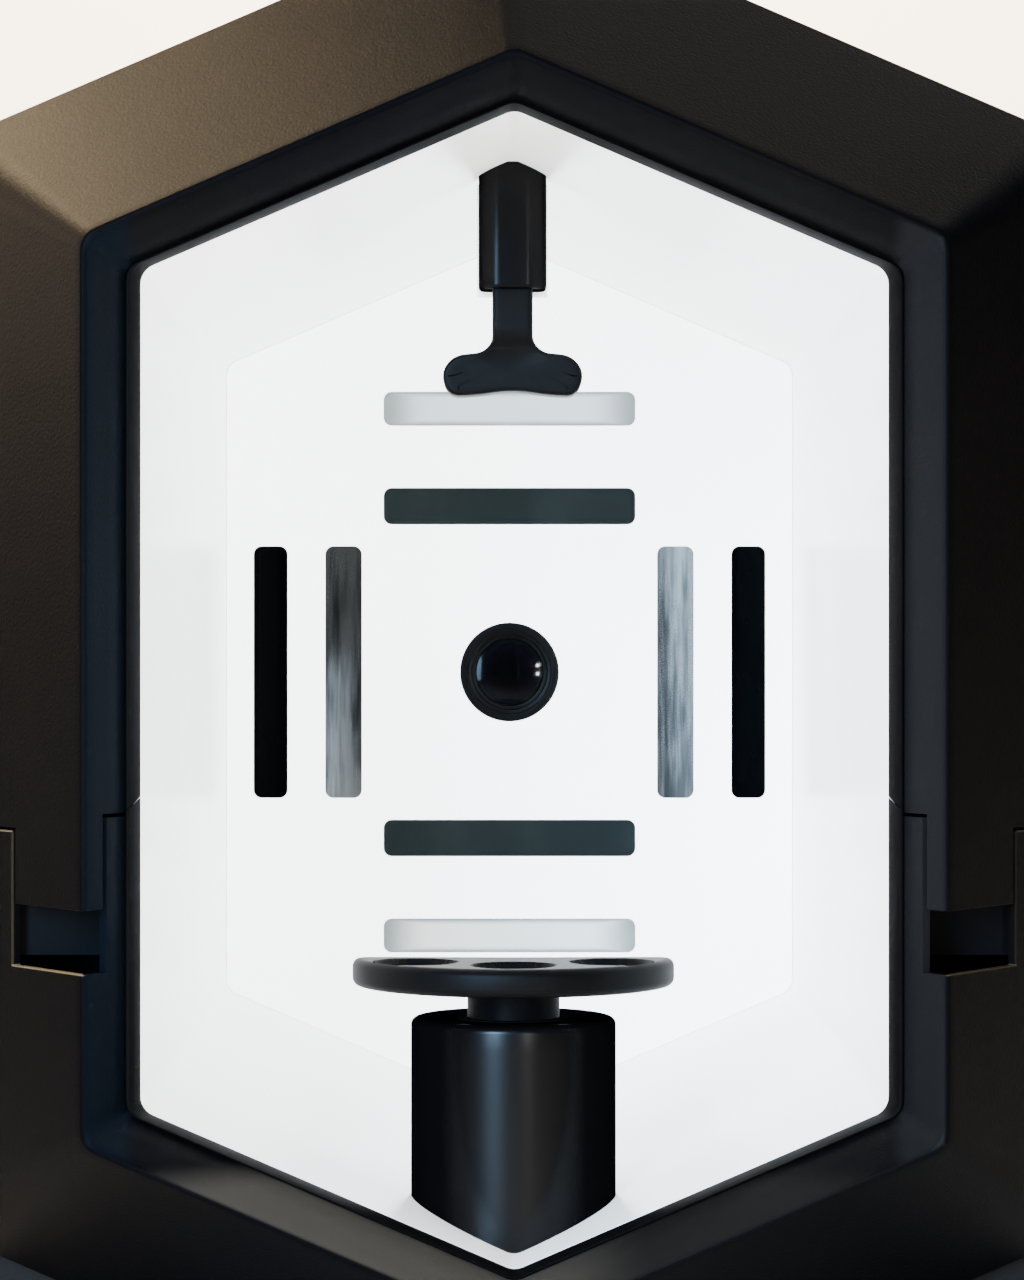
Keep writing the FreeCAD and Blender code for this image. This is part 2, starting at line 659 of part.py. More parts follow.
panelBody = hexPlate("panel", panelDepth, panelThickness,
                     scaled(chamberHalfWidth, chamberHalfHeight, -fitGap), None, (chamberRadius, None))
lensHole = rod("panel_lens_hole", lensHoleRadius, panelThickness, (0, deep(panelDepth), lensZ))
finished(cut("panel_cut", panelBody, lensHole, *windowCuts), "rear_light_panel")

# ---- camera ----
lensFront = panelDepth + 1
barrelStart = lensFront + 3
barrelEnd = barrelStart + barrelLength
ringInner = barrelRadius + slideGap
focusStart = barrelStart + 8
retainerRadius = lensHoleRadius - 0.5
glassSetback = 1.5
bracketStart = rearBulkheadAt + bulkheadThickness
bracketHalf = chamberHalfWidth + 4
bracketHeight = 40
armWall = 3
cameraLength = 26
focusRingRadius = barrelRadius + focusRingWall

lensBore = rod("barrel_bore", lensGlassRadius, 12, (0, deep(barrelStart), lensZ))
finished(cut("barrel", rod("barrel_rod", barrelRadius, barrelLength, (0, deep(barrelStart), lensZ)),
             lensBore), "lens_barrel")
finished(ring("retainer", retainerRadius, lensGlassRadius, barrelStart - lensFront,
              (0, deep(lensFront), lensZ)), "lens_retaining_ring")
finished(rod("glass", lensGlassRadius, 5, (0, deep(lensFront + glassSetback), lensZ)), "lens_front_glass")
finished(ring("focus", focusRingRadius, ringInner, focusRingLength,
              (0, deep(focusStart), lensZ)), "lens_focus_ring")
finished(box("camera", (cameraHalf * 2, cameraLength, cameraHalf * 2),
             (-cameraHalf, deep(barrelEnd), lensZ - cameraHalf)), "camera_body")
bracketPlate = box("bracket_plate", (bracketHalf * 2, armWall, bracketHeight),
                   (-bracketHalf, deep(bracketStart), lensZ - bracketHeight / 2))
bracketArms = bothSides("bracket_arm", lambda name, side: sideBox(
    name, cameraHalf, side, (armWall, barrelEnd + cameraLength - bracketStart, bracketHeight),
    deep(bracketStart), lensZ - bracketHeight / 2))
bracketHole = rod("bracket_hole", barrelRadius + 1, armWall, (0, deep(bracketStart), lensZ))
finished(cut("bracket", fuse("bracket_fused", bracketPlate, *bracketArms), bracketHole), "camera_bracket")

# ---- back cover and what it carries ----
coverInner = rearRim + coverDepth - coverThickness
coverBody = newBody("cover_body")
coverEdge = 3
loft(coverBody, "Additive", [(rearRim, *rearSeat, outerRadius),
                             (overallDepth, *scaled(*rearSeat, -coverEdge), outerRadius)])
hollow = scaled(*rearSeat, -shellWall - coverEdge)
loft(coverBody, "Subtractive", [(rearRim, *hollow, outerRadius), (coverInner, *hollow, outerRadius)])
fanZ = high(fanHeight)
fanBore = fanSize / 2 - 3
slotCount = 7
slotWidth = 5
slotPitch = 10
coverCuts = []
for step in range(slotCount):
    shift = (step - (slotCount - 1) / 2) * slotPitch
    half = math.sqrt(1 - (shift / 40)**2)
    slotLength = fanBore * 2 * half
    coverCuts.append(box("fan_slot", (slotWidth, coverThickness, slotLength),
                         (shift - slotWidth / 2, deep(coverInner), fanZ - slotLength / 2)))

socketZ = high(-socketHeight)
buttonBezelWall = 2
boardHeight = 60
boardWidth = 130
boardY = deep(coverInner - boardSetback)
inletX = -40
inletSize = (16, 12, 12)
usbX = (-12, 10)
usbSize = (14, 12, 7)


def socket(name, x, size, growth=0):
    wide, long, tall = size
    return box(name, (wide + growth * 2, long + growth, tall + growth * 2),
               (x - wide / 2 - growth, deep(overallDepth - long), socketZ - tall / 2 - growth))


coverCuts.append(socket("inlet_hole", inletX, inletSize, 0.2))
coverCuts.extend(socket("usb_hole", x, usbSize, 0.2) for x in usbX)
coverCuts.append(rod("button_hole", buttonRadius + buttonBezelWall, coverThickness,
                     (buttonX, deep(coverInner), socketZ)))
pillarInset = 32
pillarX = outerHalfWidth - pillarInset
pillarZ = outerHalfHeight - roofSlope * pillarX - pillarInset * 1.9
pillarSpots = [(pillarX, pillarZ), (pillarX, -pillarZ), (-pillarX, pillarZ), (-pillarX, -pillarZ),
               (noGap, chamberHalfHeight + pillarInset), (noGap, -chamberHalfHeight - pillarInset)]
pillarStart = rearBulkheadAt + bulkheadThickness
headHeight = 1.8
headRadius = screwRadius * 2
pillars = []
coverScrews = []
for x, z in pillarSpots:
    spot = (x, deep(pillarStart), high(z))
    bore = rod("pillar_bore", screwRadius, 12, (x, deep(coverInner - 12), high(z)))
    pillars.append(cut("pillar", rod("pillar_rod", pillarRadius, coverInner - pillarStart, spot), bore))
    coverScrews.append(fuse("cover_screw",
                            rod("shank", screwRadius, coverThickness + 10, (x, deep(coverInner - 10), high(z))),
                            rod("head", headRadius, headHeight, (x, deep(overallDepth - headHeight), high(z)))))
    coverCuts.append(rod("screw_hole", screwRadius, coverThickness, (x, deep(coverInner), high(z))))
    coverCuts.append(rod("head_recess", headRadius, headHeight, (x, deep(overallDepth - headHeight), high(z))))
finished(cut("cover", coverBody, *coverCuts), "back_cover")
finished(group("pillar_group", *pillars), "cover_pillars")
finished(group("cover_screw_group", *coverScrews), "back_cover_screws")

bezelTail = 5
finished(ring("button_bezel_ring", buttonRadius + buttonBezelWall, buttonRadius + slideGap * 2,
              coverThickness + bezelTail, (buttonX, deep(coverInner - bezelTail), socketZ)), "power_button_bezel")
finished(rod("button", buttonRadius, buttonLength, (buttonX, deep(overallDepth - buttonLength), socketZ)),
         "power_button")
standoffSpots = [(x * (boardWidth / 2 - 5), z * (boardHeight / 2 - 5)) for x in (-1, 1) for z in (-1, 1)]
boardHoles = [rod("board_hole", screwRadius, boardThickness, (x, boardY - boardThickness, socketZ + z))
              for x, z in standoffSpots]
boardPlate = box("board_plate", (boardWidth, boardThickness, boardHeight),
                 (-boardWidth / 2, boardY - boardThickness, socketZ - boardHeight / 2))
finished(cut("control", boardPlate, *boardHoles), "control_board")
standoffRadius = 3
finished(group("standoffs", *[rod("standoff", standoffRadius, boardSetback, (x, boardY, socketZ + z))
                              for x, z in standoffSpots]), "board_standoffs")
switchSide = 12
switchGap = 0.3
switchBody = boardSetback - buttonLength + coverThickness - buttonTravel - switchGap
finished(box("switch", (switchSide, switchBody, switchSide),
             (buttonX - switchSide / 2, boardY, socketZ - switchSide / 2)), "button_switch")


def hollowSocket(name, x, size, wall):
    """A socket shell with its own cavity, open to the back."""
    wide, long, tall = size
    shell = box(f"{name}_shell", (wide, long, tall), (x - wide / 2, deep(overallDepth - long), socketZ - tall / 2))
    inside = box(f"{name}_cavity", (wide - wall * 2, long - 3, tall - wall * 2),
                 (x - wide / 2 + wall, deep(overallDepth - long + 3), socketZ - tall / 2 + wall))
    return cut(name, shell, inside)


inletShell = cut("inlet_shell", box("inlet_block", inletSize, (
    inletX - inletSize[0] / 2, deep(overallDepth - inletSize[1]), socketZ - inletSize[2] / 2)),
    rod("inlet_bore", 3.5, 10, (inletX, deep(overallDepth - 10), socketZ)))
finished(fuse("inlet", inletShell, rod("inlet_pin", 1, 9, (inletX, deep(overallDepth - 10.5), socketZ))),
         "dc_inlet")
finished(group("usb_pair", *[fuse("usb", hollowSocket("usb_shell", x, usbSize, 0.6),
                                  box("usb_blade", (10, 9, 1.6), (x - 5, deep(overallDepth - 10), socketZ - 0.2)))
                             for x in usbX]), "usb_sockets")
supplySize = (90, 22, 46)
finished(box("supply", supplySize, (-supplySize[0] / 2, boardY - boardThickness - fitGap - supplySize[1],
                                    socketZ - supplySize[2] / 2)), "power_supply")

# ---- fan ----
fanY = deep(coverInner) - fanThickness
hubRadius = 15
motorPlate = 3
bladeCount = 7
fanCorner = (-fanSize / 2, fanY, fanZ - fanSize / 2)
frameShell = cut("fan_shell", box("fan_block", (fanSize, fanThickness, fanSize), fanCorner),
                 rod("fan_bore", fanBore, fanThickness, (0, fanY, fanZ)))
strut = box("fan_strut", (fanSize - 2, motorPlate, 4), (-fanSize / 2 + 1, fanY, fanZ - 2))
post = box("fan_post", (4, motorPlate, fanSize - 2), (-2, fanY, fanZ - fanSize / 2 + 1))
motor = rod("fan_motor", hubRadius, motorPlate, (0, fanY, fanZ))
spindle = rod("fan_spindle", 1.5, 12, (0, fanY, fanZ))
finished(fuse("fan", frameShell, strut, post, motor, spindle), "fan_frame")
hubY = fanY + motorPlate + 0.5
hubLength = 13
blades = []
for step in range(bladeCount):
    blade = doc.addObject("Part::Box", "fan_blade")
    blade.Length, blade.Width, blade.Height = 1.6, 11, 1
    blade.setExpression("Height", formulaOf(fanBore - hubRadius - 0.5))
    # each blade is pitched about its own span, then set round the hub
    angle = 360 * step / bladeCount
    pitchTurn = Rotation(Vector(0, 0, 1), 32)
    ringTurn = Rotation(Vector(0, 1, 0), angle)
    blade.Placement = Placement(Vector(), ringTurn * pitchTurn)
    reach = hubRadius - 0.8
    inward = (ringTurn * pitchTurn).multVec(Vector(-0.8, -5.5, 0))
    outward = ringTurn.multVec(Vector(0, 0, reach))
    start = inward + outward
    placeAt(blade, start.x, hubY + hubLength / 2 + start.y, fanZ + start.z)
    blades.append(blade)
hub = rod("fan_hub", hubRadius, hubLength, (0, hubY, fanZ))
finished(cut("rotor", fuse("rotor_fused", hub, *blades),
             rod("rotor_bore", 1.5 + slideGap, 10, (0, hubY, fanZ))), "fan_rotor")

# ---- forehead rest ----
chamberBlock = hexPlate("chamber_block", noGap, panelDepth, (chamberHalfWidth, chamberHalfHeight),
                        None, (chamberRadius, None))
sleeveBody = newBody("sleeve_body")
sleeveSketch = newSketch(sleeveBody, "XY_Plane", {"y": deep(sleeveFront), "z": high(sleeveBottom)})
outline(sleeveSketch, [(-sleeveFlat / 2, 0), (sleeveFlat / 2, 0), (sleeveWidth / 2, sleeveBevel),
                       (sleeveWidth / 2, sleeveDepth), (-sleeveWidth / 2, sleeveDepth),
                       (-sleeveWidth / 2, sleeveBevel)])
sleeveHeight = chamberHalfHeight - sleeveBottom + 2
pad(sleeveBody, sleeveSketch, sleeveHeight)
stemFront = sleeveFront + 3
stemGap = slideGap * 2
sleeveBore = box("sleeve_bore", (restStemWidth + stemGap * 2, restStemDepth + stemGap * 2, sleeveHeight),
                 (-restStemWidth / 2 - stemGap, deep(stemFront) - stemGap, high(sleeveBottom)))
finished(common("sleeve", cut("sleeve_bored", sleeveBody, sleeveBore), chamberBlock), "forehead_sleeve")
backingWidth = sleeveWidth + 0.9
backingBox = box("backing_box", (backingWidth, 4, sleeveHeight + 1.3),
                 (-backingWidth / 2, deep(sleeveFront + sleeveDepth), high(sleeveBottom - 1.3)))
backingTrim = hexPlate("backing_trim", noGap, panelDepth, (chamberHalfWidth, chamberHalfHeight),
                       None, (chamberRadius, None))
finished(common("backing", backingBox, backingTrim), "sleeve_backing")

padHeight = restTop - restBottom
endRadius = padHeight / 2
restThickness = stemFront + restStemDepth - restFront
stemReach = 44
stem = box("rest_stem", (restStemWidth, restStemDepth, stemReach + padHeight / 2),
           (-restStemWidth / 2, deep(stemFront), high(restTop - padHeight / 2)))
padBar = box("rest_bar", (restWidth - padHeight, restThickness, padHeight),
             (-restWidth / 2 + endRadius, deep(restFront), high(restBottom)))
padEnds = [rod("rest_end", endRadius, restThickness, (x, deep(restFront), high(restBottom + endRadius)))
           for x in (restWidth / 2 - endRadius, -restWidth / 2 + endRadius)]
archRadius = restWidth * 1.1
archRise = 2.2
arch = rod("rest_arch", archRadius, restThickness,
           (0, deep(restFront), high(restBottom + archRise) - archRadius))
finished(cut("rest", fuse("rest_fused", stem, padBar, *padEnds), arch), "forehead_rest")

# ---- chin rest ----
columnY = deep(columnDepth)
columnHeight = chamberHalfHeight - columnTop + 2
columnBlock = rod("column_block", columnRadius, columnHeight, (0, columnY, high(-columnTop) - columnHeight), "z")
columnTrim = hexPlate("column_trim", noGap, panelDepth, (chamberHalfWidth, chamberHalfHeight),
                      None, (chamberRadius, None))
columnBore = rod("column_bore", stemRadius + slideGap + bushingWall, columnHeight,
                 (0, columnY, high(-columnTop) - columnHeight), "z")
finished(cut("column", common("column_trimmed", columnBlock, columnTrim), columnBore), "chin_column")
finished(ring("bushing", stemRadius + slideGap + bushingWall, stemRadius + slideGap, bushingLength,
              (0, columnY, high(-columnTop) - bushingLength), "z"), "column_bushing")
stemBottom = columnTop + stemEngagement
stemLength = stemBottom - chinTop - chinThickness
finished(rod("chin_rod", stemRadius, stemLength, (0, columnY, high(-stemBottom)), "z"), "chin_stem")
plateZ = high(-chinTop - chinThickness)
plateDisc = rod("plate_disc", chinRadius, chinThickness, (0, deep(chinFront + chinRadius), plateZ), "z")
plateTrim = box("plate_trim", (chinRadius * 3, chinRadius * 2, chinThickness * 3),
                (-chinRadius * 1.5, deep(chinBack), plateZ - chinThickness))
ballRadius = (dishRadius * dishRadius + dishDepth * dishDepth) / (dishDepth * 2)
dishZ = high(-chinTop) + ballRadius - dishDepth
dishes = [ball("dish", ballRadius, (x, deep(chinFront + setback), dishZ))
          for x, setback in ((noGap, 16), (dishSpacing, 28), (-dishSpacing, 28))]
finished(cut("plate", plateDisc, plateTrim, *dishes), "chin_plate")

# ---- plinth ----
plinthBody = newBody("plinth_body")
plinthFloor = footHeight - centreHeight
keel = -outerHalfHeight
shoulder = keel + roofSlope * plinthHalfWidth
outline(frontSketch(plinthBody, plinthSetback), [
    (-plinthHalfWidth, plinthFloor), (plinthHalfWidth, plinthFloor), (plinthHalfWidth, shoulder),
    (0, keel), (-plinthHalfWidth, shoulder)])
pad(plinthBody, plinthBody.Group[-1], plinthLength, True)
innerHalf = plinthHalfWidth - shellWall
plinthHollow = newBody("plinth_hollow")
innerKeel = keel - shellWall * rim
outline(frontSketch(plinthHollow, plinthSetback + shellWall), [
    (-innerHalf, plinthFloor), (innerHalf, plinthFloor), (innerHalf, innerKeel + roofSlope * innerHalf),
    (0, innerKeel), (-innerHalf, innerKeel + roofSlope * innerHalf)])
pad(plinthHollow, plinthHollow.Group[-1], plinthLength - shellWall * 2, True)
plateThickness = 2
footSpots = [(x * side, depth) for side in (1, -1) for x, depth in
             ((plinthHalfWidth - 30, plinthSetback + 20), (plinthHalfWidth - 30, plinthSetback + plinthLength - 20))]
screwSpots = [(x * side, depth) for side in (1, -1) for x, depth in
              ((innerHalf - 6, plinthSetback + 60), (innerHalf - 6, plinthSetback + plinthLength - 60))]
bossHeight = 30
plinthBosses = []
plateScrews = []
plateHoles = []
bossBores = []
bossFloor = footHeight + plateThickness
for x, depth in screwSpots:
    plinthBosses.append(rod("plinth_boss", 6.1, bossHeight, (x, deep(depth), bossFloor), "z"))
    bossBores.append(rod("boss_bore", screwRadius, 10, (x, deep(depth), bossFloor), "z"))
    plateHoles.append(rod("plate_hole", screwRadius, plateThickness, (x, deep(depth), footHeight), "z"))
    plateScrews.append(fuse("plate_screw", rod("plate_shank", screwRadius, 10, (x, deep(depth), footHeight), "z"),
                            rod("plate_head", headRadius, headHeight,
                                (x, deep(depth), footHeight - headHeight), "z")))
plinthShell = cut("plinth_shell", plinthBody, plinthHollow)
finished(cut("plinth", fuse("plinth_fused", plinthShell, *plinthBosses), *bossBores), "plinth")
plateGap = fitGap
basePlate = box("base_plate", ((innerHalf - plateGap) * 2, plinthLength - (shellWall + plateGap) * 2, plateThickness),
                (-innerHalf + plateGap, deep(plinthSetback + shellWall + plateGap), footHeight))
finished(cut("base", basePlate, *plateHoles), "plinth_bottom_plate")
finished(group("plate_screw_group", *plateScrews), "bottom_plate_screws")
finished(group("feet", *[rod("foot", footRadius, footHeight, (x, deep(depth), 0), "z")
                         for x, depth in footSpots]), "rubber_feet")

# ---- check and write ----
doc.recompute()
for item in doc.Objects:
    if "Invalid" in item.State or "Error" in item.State:
        raise RuntimeError(f"{item.Label} failed: {item.State}")
for item in nodes:
    if item.Shape.isNull() or not item.Shape.isValid():
        raise RuntimeError(f"{item.Label} has no valid shape")
    item.Shape.exportStep(f"parts/{item.Label}.step")
    bounds = item.Shape.BoundBox
    print(f"{item.Label}: {len(item.Shape.Solids)} solids, {item.Shape.Volume / 1000:.1f} cm3, "
          f"z {bounds.ZMin:.1f} to {bounds.ZMax:.1f}")
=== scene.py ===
import math

import bmesh
import bpy
import numpy as np
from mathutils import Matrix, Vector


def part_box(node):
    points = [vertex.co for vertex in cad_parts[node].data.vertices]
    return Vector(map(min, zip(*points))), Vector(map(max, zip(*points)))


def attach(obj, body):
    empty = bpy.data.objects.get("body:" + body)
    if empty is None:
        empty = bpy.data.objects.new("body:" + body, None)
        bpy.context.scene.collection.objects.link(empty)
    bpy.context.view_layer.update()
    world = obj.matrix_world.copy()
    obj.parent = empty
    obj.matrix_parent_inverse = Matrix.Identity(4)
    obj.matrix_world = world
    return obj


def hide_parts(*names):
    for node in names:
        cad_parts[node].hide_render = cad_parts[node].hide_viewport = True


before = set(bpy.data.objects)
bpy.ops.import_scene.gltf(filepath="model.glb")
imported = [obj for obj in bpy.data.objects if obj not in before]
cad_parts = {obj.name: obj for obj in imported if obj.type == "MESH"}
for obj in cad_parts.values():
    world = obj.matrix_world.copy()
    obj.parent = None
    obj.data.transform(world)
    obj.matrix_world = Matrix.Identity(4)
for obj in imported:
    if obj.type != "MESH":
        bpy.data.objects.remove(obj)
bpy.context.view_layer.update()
mm = 0.001
print("frame loaded")


def corners(node):
    # the lowest and the highest corner of a node's box
    low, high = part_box(node)
    return np.array(low), np.array(high)


panelLow, panelHigh = corners("rear_light_panel")
centreZ = (panelLow[2] + panelHigh[2]) / 2    # height of the middle of the opening
frontY = corners("upper_cowl")[0][1]    # the front edge of the booth
lensLow, lensHigh = corners("lens_retaining_ring")
lensZ = (lensLow[2] + lensHigh[2]) / 2
roofSlope = 0.43    # how far the six-sided outlines fall for each step outwards


class Channel:
    # one socket of a shader; arithmetic on it adds Math nodes
    def __init__(self, kit, socket):
        self.kit = kit
        self.socket = socket

    def math(self, operation, other=None, flipped=False):
        # a Math node of this socket and the other value, in the order that `flipped` gives
        pair = (other, self) if flipped else (self, other)
        values = {place: value for place, value in enumerate(pair) if value is not None}
        return self.kit.node("ShaderNodeMath", {"operation": operation}, values)

    def __add__(self, other): return self.math("ADD", other)

    def __sub__(self, other): return self.math("SUBTRACT", other)

    def __rsub__(self, other): return self.math("SUBTRACT", other, True)

    def __mul__(self, other): return self.math("MULTIPLY", other)

    def __truediv__(self, other): return self.math("DIVIDE", other)

    __radd__ = __add__
    __rmul__ = __mul__

    def size(self): return self.math("ABSOLUTE")

    def wave(self): return self.math("SINE")

    def most(self, other): return self.math("MAXIMUM", other)


class Finish:
    # a material with one Principled shader, and the few ways that its channels are made
    def __init__(self, name, **settings):
        self.material = bpy.data.materials.new(name)
        self.material.use_nodes = True
        self.tree = self.material.node_tree
        self.shader = self.tree.nodes["Principled BSDF"]
        for socket, value in settings.items():
            self.shader.inputs[socket.replace("_", " ")].default_value = value
        self.place = self.node("ShaderNodeTexCoord", output="Object")

    def node(self, kind, settings=None, inputs=None, output=0):
        # a node with its settings made first and its inputs linked or set after
        made = self.tree.nodes.new(kind)
        for key, value in (settings or {}).items():
            setattr(made, key, value)
        for key, value in (inputs or {}).items():
            if isinstance(value, Channel):
                self.tree.links.new(value.socket, made.inputs[key])
            else:
                made.inputs[key].default_value = value
        return Channel(self, made.outputs[output])

    def noise(self, scale, detail=3.0, roughness=0.55, stretch=None):
        # noise of the place, which is first multiplied by `stretch` axis by axis
        place = self.place
        if stretch:
            place = self.node("ShaderNodeMapping", None, {"Vector": place, "Scale": stretch}, "Vector")
        values = {"Vector": place, "Scale": scale, "Detail": detail, "Roughness": roughness}
        return self.node("ShaderNodeTexNoise", None, values, "Fac")

    def axis(self, name):
        return self.node("ShaderNodeSeparateXYZ", None, {0: self.place}, name)

    def spread(self, channel, low, high, toLow=0.0, toHigh=1.0):
        # toLow + (toHigh - toLow) t^2 (3 - 2t), with t = (channel - low) / (high - low) kept within 0 and 1
        values = {"Value": channel, "From Min": low, "From Max": high, "To Min": toLow, "To Max": toHigh}
        return self.node("ShaderNodeMapRange", {"interpolation_type": "SMOOTHSTEP"}, values, "Result")

    def blend(self, first, second, amount):
        # colours mix here, because a Math node would turn them grey
        made = self.tree.nodes.new("ShaderNodeMix")
        made.data_type = "RGBA"
        self.tree.links.new(amount.socket, made.inputs["Factor"])
        for socket, value in ((made.inputs[6], first), (made.inputs[7], second)):
            if isinstance(value, Channel):
                self.tree.links.new(value.socket, socket)
            else:
                socket.default_value = (*value, 1.0)
        return Channel(self, made.outputs[2])

    def feed(self, socket, channel):
        self.tree.links.new(channel.socket, self.shader.inputs[socket])
        return self

    def relief(self, height, depth, strength=1.0):
        # a bump of height times depth
        values = {"Height": height, "Distance": depth, "Strength": strength}
        return self.feed("Normal", self.node("ShaderNodeBump", None, values, "Normal"))


def mouldedPlastic(name, dark, light, roughness, grain=0.03 * mm, grainScale=2600.0, coat=0.0, specular=0.4):
    # fine spark-eroded grain, slow patches of handling, slightly uneven gloss
    finish = Finish(name, Coat_Weight=coat, Coat_Roughness=0.35, Specular_IOR_Level=specular)
    patches = finish.noise(9.0, 4.0)
    fine = finish.noise(grainScale, 2.0, 0.5)
    finish.feed("Base Color", finish.blend(dark, light, finish.spread(patches + fine * 0.25, 0.35, 0.95)))
    finish.feed("Roughness", roughness + (patches - 0.5) * 0.16 + (fine - 0.5) * 0.08)
    return finish.relief(fine, grain)


def softTouchShell():
    # matt rubbery coat: speckled grain, wiped patches and dust, with painted reflections on the lips of the opening
    # and painted highlights on the notch edges
    look = dict(dark=(0.0007, 0.0008, 0.0012), light=(0.0017, 0.0016, 0.0017), rough=0.37, grainScale=1000.0,
                leftLipReflection=(0.0012, 0.0021, 0.0036), rightLipReflection=(0.0042, 0.0042, 0.0046), bottomLipSheen=(0.022, 0.0195, 0.016),
                dust=(0.012, 0.011, 0.010), edgeHighlightColour=(0.100, 0.078, 0.044))
    lipEdge = dict(width=121.3 * mm, height=180.2 * mm)    # the opening's front edge
    notch = dict(floor=-80 * mm, step=-41 * mm, start=121 * mm, end=145.7 * mm)
    finish = Finish("softTouchShell", Specular_IOR_Level=0.009)
    wiped = finish.noise(6.0, 5.0, 0.6, (1.0, 1.0, 0.45))
    fine = finish.noise(look["grainScale"], 3.0, 0.65)
    dust = finish.spread(finish.noise(420.0, 3.0, 0.7), 0.64, 0.80)
    tone = finish.blend(look["dark"], look["light"], finish.spread(wiped, 0.30, 0.75))
    tone = finish.blend(tone, look["dust"], dust * 0.08)
    # inside the front edge the lips carry painted reflections: bluish on the left upright lip, grey on the right, and
    # a warm painted sheen on the bottom ones, mostly on the left
    x, z, depth = finish.axis("X"), finish.axis("Z") - centreZ, finish.axis("Y") - frontY
    wide = x.size()
    ring = (wide / lipEdge["width"]).most((z.size() + wide * roofSlope) / lipEdge["height"])
    lip = finish.spread(ring, 0.994, 1.002, 1.0, 0.0)
    # the lip colours are painted reflections, bluish on the left and grey on the right
    lipReflection = finish.blend(look["leftLipReflection"], look["rightLipReflection"], finish.spread(x, -60 * mm, 60 * mm))
    lipReflection = finish.blend(tone, lipReflection, finish.spread(wide, 106 * mm, 112 * mm))
    # the warm colour on the bottom lips is a painted sheen, full on the left and faint on the right
    bottomLipSheen = finish.spread(z, -134 * mm, -142 * mm) * finish.spread(x, 0.0, 40 * mm, 1.0, 0.16)
    lipReflection = finish.blend(lipReflection, look["bottomLipSheen"], bottomLipSheen * (0.8 + wiped * 0.4))

    def near(channel, full, none):
        # 1 up to the distance `full` from zero, then down to 0 at `none`
        return finish.spread(channel.size(), full * mm, none * mm, 1.0, 0.0)

    # three edges of the lower shell get a thin warm painted highlight at each notch, stronger on the left: its floor,
    # the step beside it and the upright between
    floor = near(z - notch["floor"], 0.10, 0.42) * finish.spread(wide, notch["start"], notch["start"] + 1.0 * mm)
    floor = floor * finish.spread(wide, notch["end"] + 0.1 * mm, notch["end"] + 0.5 * mm, 1.0, 0.0)
    step = near(z - notch["step"], 0.15, 0.50)
    step = step * finish.spread(wide, notch["end"] - 0.1 * mm, notch["end"] + 0.3 * mm)
    upright = near(wide - notch["end"], 0.20, 0.60) * 0.14
    upright = upright * near(z - (notch["floor"] + notch["step"]) / 2, 19.0, 20.0)
    paintedEdgeHighlight = floor.most(step).most(upright) * finish.spread(depth, 66 * mm, 68 * mm, 1.0, 0.0)
    paintedEdgeHighlight = paintedEdgeHighlight * finish.spread(x, -60 * mm, 60 * mm, 1.0, 0.3) * (0.55 + fine * 0.6)
    # the warm edge colour mixed in last is a painted highlight
    finish.feed("Base Color", finish.blend(finish.blend(tone, lipReflection, lip), look["edgeHighlightColour"], paintedEdgeHighlight))
    finish.feed("Roughness", look["rough"] + (wiped - 0.5) * 0.14 + (fine - 0.5) * 0.12)
    return finish.relief(fine + dust * 0.3, 0.10 * mm)


def chamberWhite(name, near, far, rough, glow, glowEnd):
    # gloss white lacquer with faint orange peel; its glow stands in for the chamber's lamps
    finish = Finish(name, Specular_IOR_Level=0.5, Emission_Strength=glow)
    peel = finish.noise(260.0, 2.0, 0.5)
    patches = finish.noise(7.0, 3.0)
    finish.feed("Base Color", finish.blend(near, far, finish.spread(patches, 0.3, 0.75)))
    finish.feed("Roughness", rough + (patches - 0.5) * 0.10)
    # the glow stops at the wall's thickness and at its depth glowEnd, so that no seam or vent lets it out
    across = finish.axis("X").size()
    rise = (finish.axis("Z") - centreZ).size() + across * roofSlope
    wall = dict(width=108.6 * mm, height=168.4 * mm)
    outside = finish.spread((across / wall["width"]).most(rise / wall["height"]), 0.998, 1.002)
    outside = outside.most(finish.spread(finish.axis("Y"), glowEnd, glowEnd + 0.3 * mm))
    finish.feed("Emission Color", finish.blend(finish.blend(near, far, patches), (0.0, 0.0, 0.0), outside))
    return finish.relief(peel, 0.05 * mm, 0.5)


def opalDiffuser():
    # milky plate, with painted shade darkening it where its edge goes into the panel
    low, high = corners("opal_diffusers")
    halfGap = (high[2] - low[2]) / 2
    halfWidth = 6.35 * mm
    finish = Finish("opalDiffuser", Coat_Weight=0.3, Coat_Roughness=0.1)
    across = ((finish.axis("Z") - lensZ).size() - (halfGap - halfWidth)).size() / halfWidth
    along = finish.axis("X").size() / high[0]
    # painted shade towards the edges where the plate goes into the panel
    edge = finish.spread(across.most(along), 0.62, 1.0)
    cloud = finish.noise(60.0, 3.0)
    upper = finish.spread(finish.axis("Z"), centreZ - 20 * mm, centreZ + 20 * mm)
    body = finish.blend((0.52, 0.54, 0.53), (0.40, 0.44, 0.48), upper)
    tone = finish.blend(body, (0.13, 0.15, 0.15), edge)
    finish.feed("Base Color", finish.blend(tone, (0.70, 0.72, 0.72), finish.spread(cloud, 0.5, 0.9) * 0.15))
    finish.feed("Roughness", 0.24 + (cloud - 0.5) * 0.1)
    return finish


def glassBar(name, body, tint, rough, metallic=0.0, coat=0.0):
    # polished bar with a thin smear of cleaning marks
    finish = Finish(name, Metallic=metallic, Coat_Weight=coat, Coat_Roughness=0.03, Specular_IOR_Level=0.012)
    smear = finish.noise(35.0, 4.0, 0.6, (1.0, 1.0, 0.3))
    finish.feed("Base Color", finish.blend(body, tint, finish.spread(smear, 0.35, 0.85)))
    finish.feed("Roughness", rough + finish.spread(smear, 0.5, 0.9, 0.0, 0.06))
    return finish


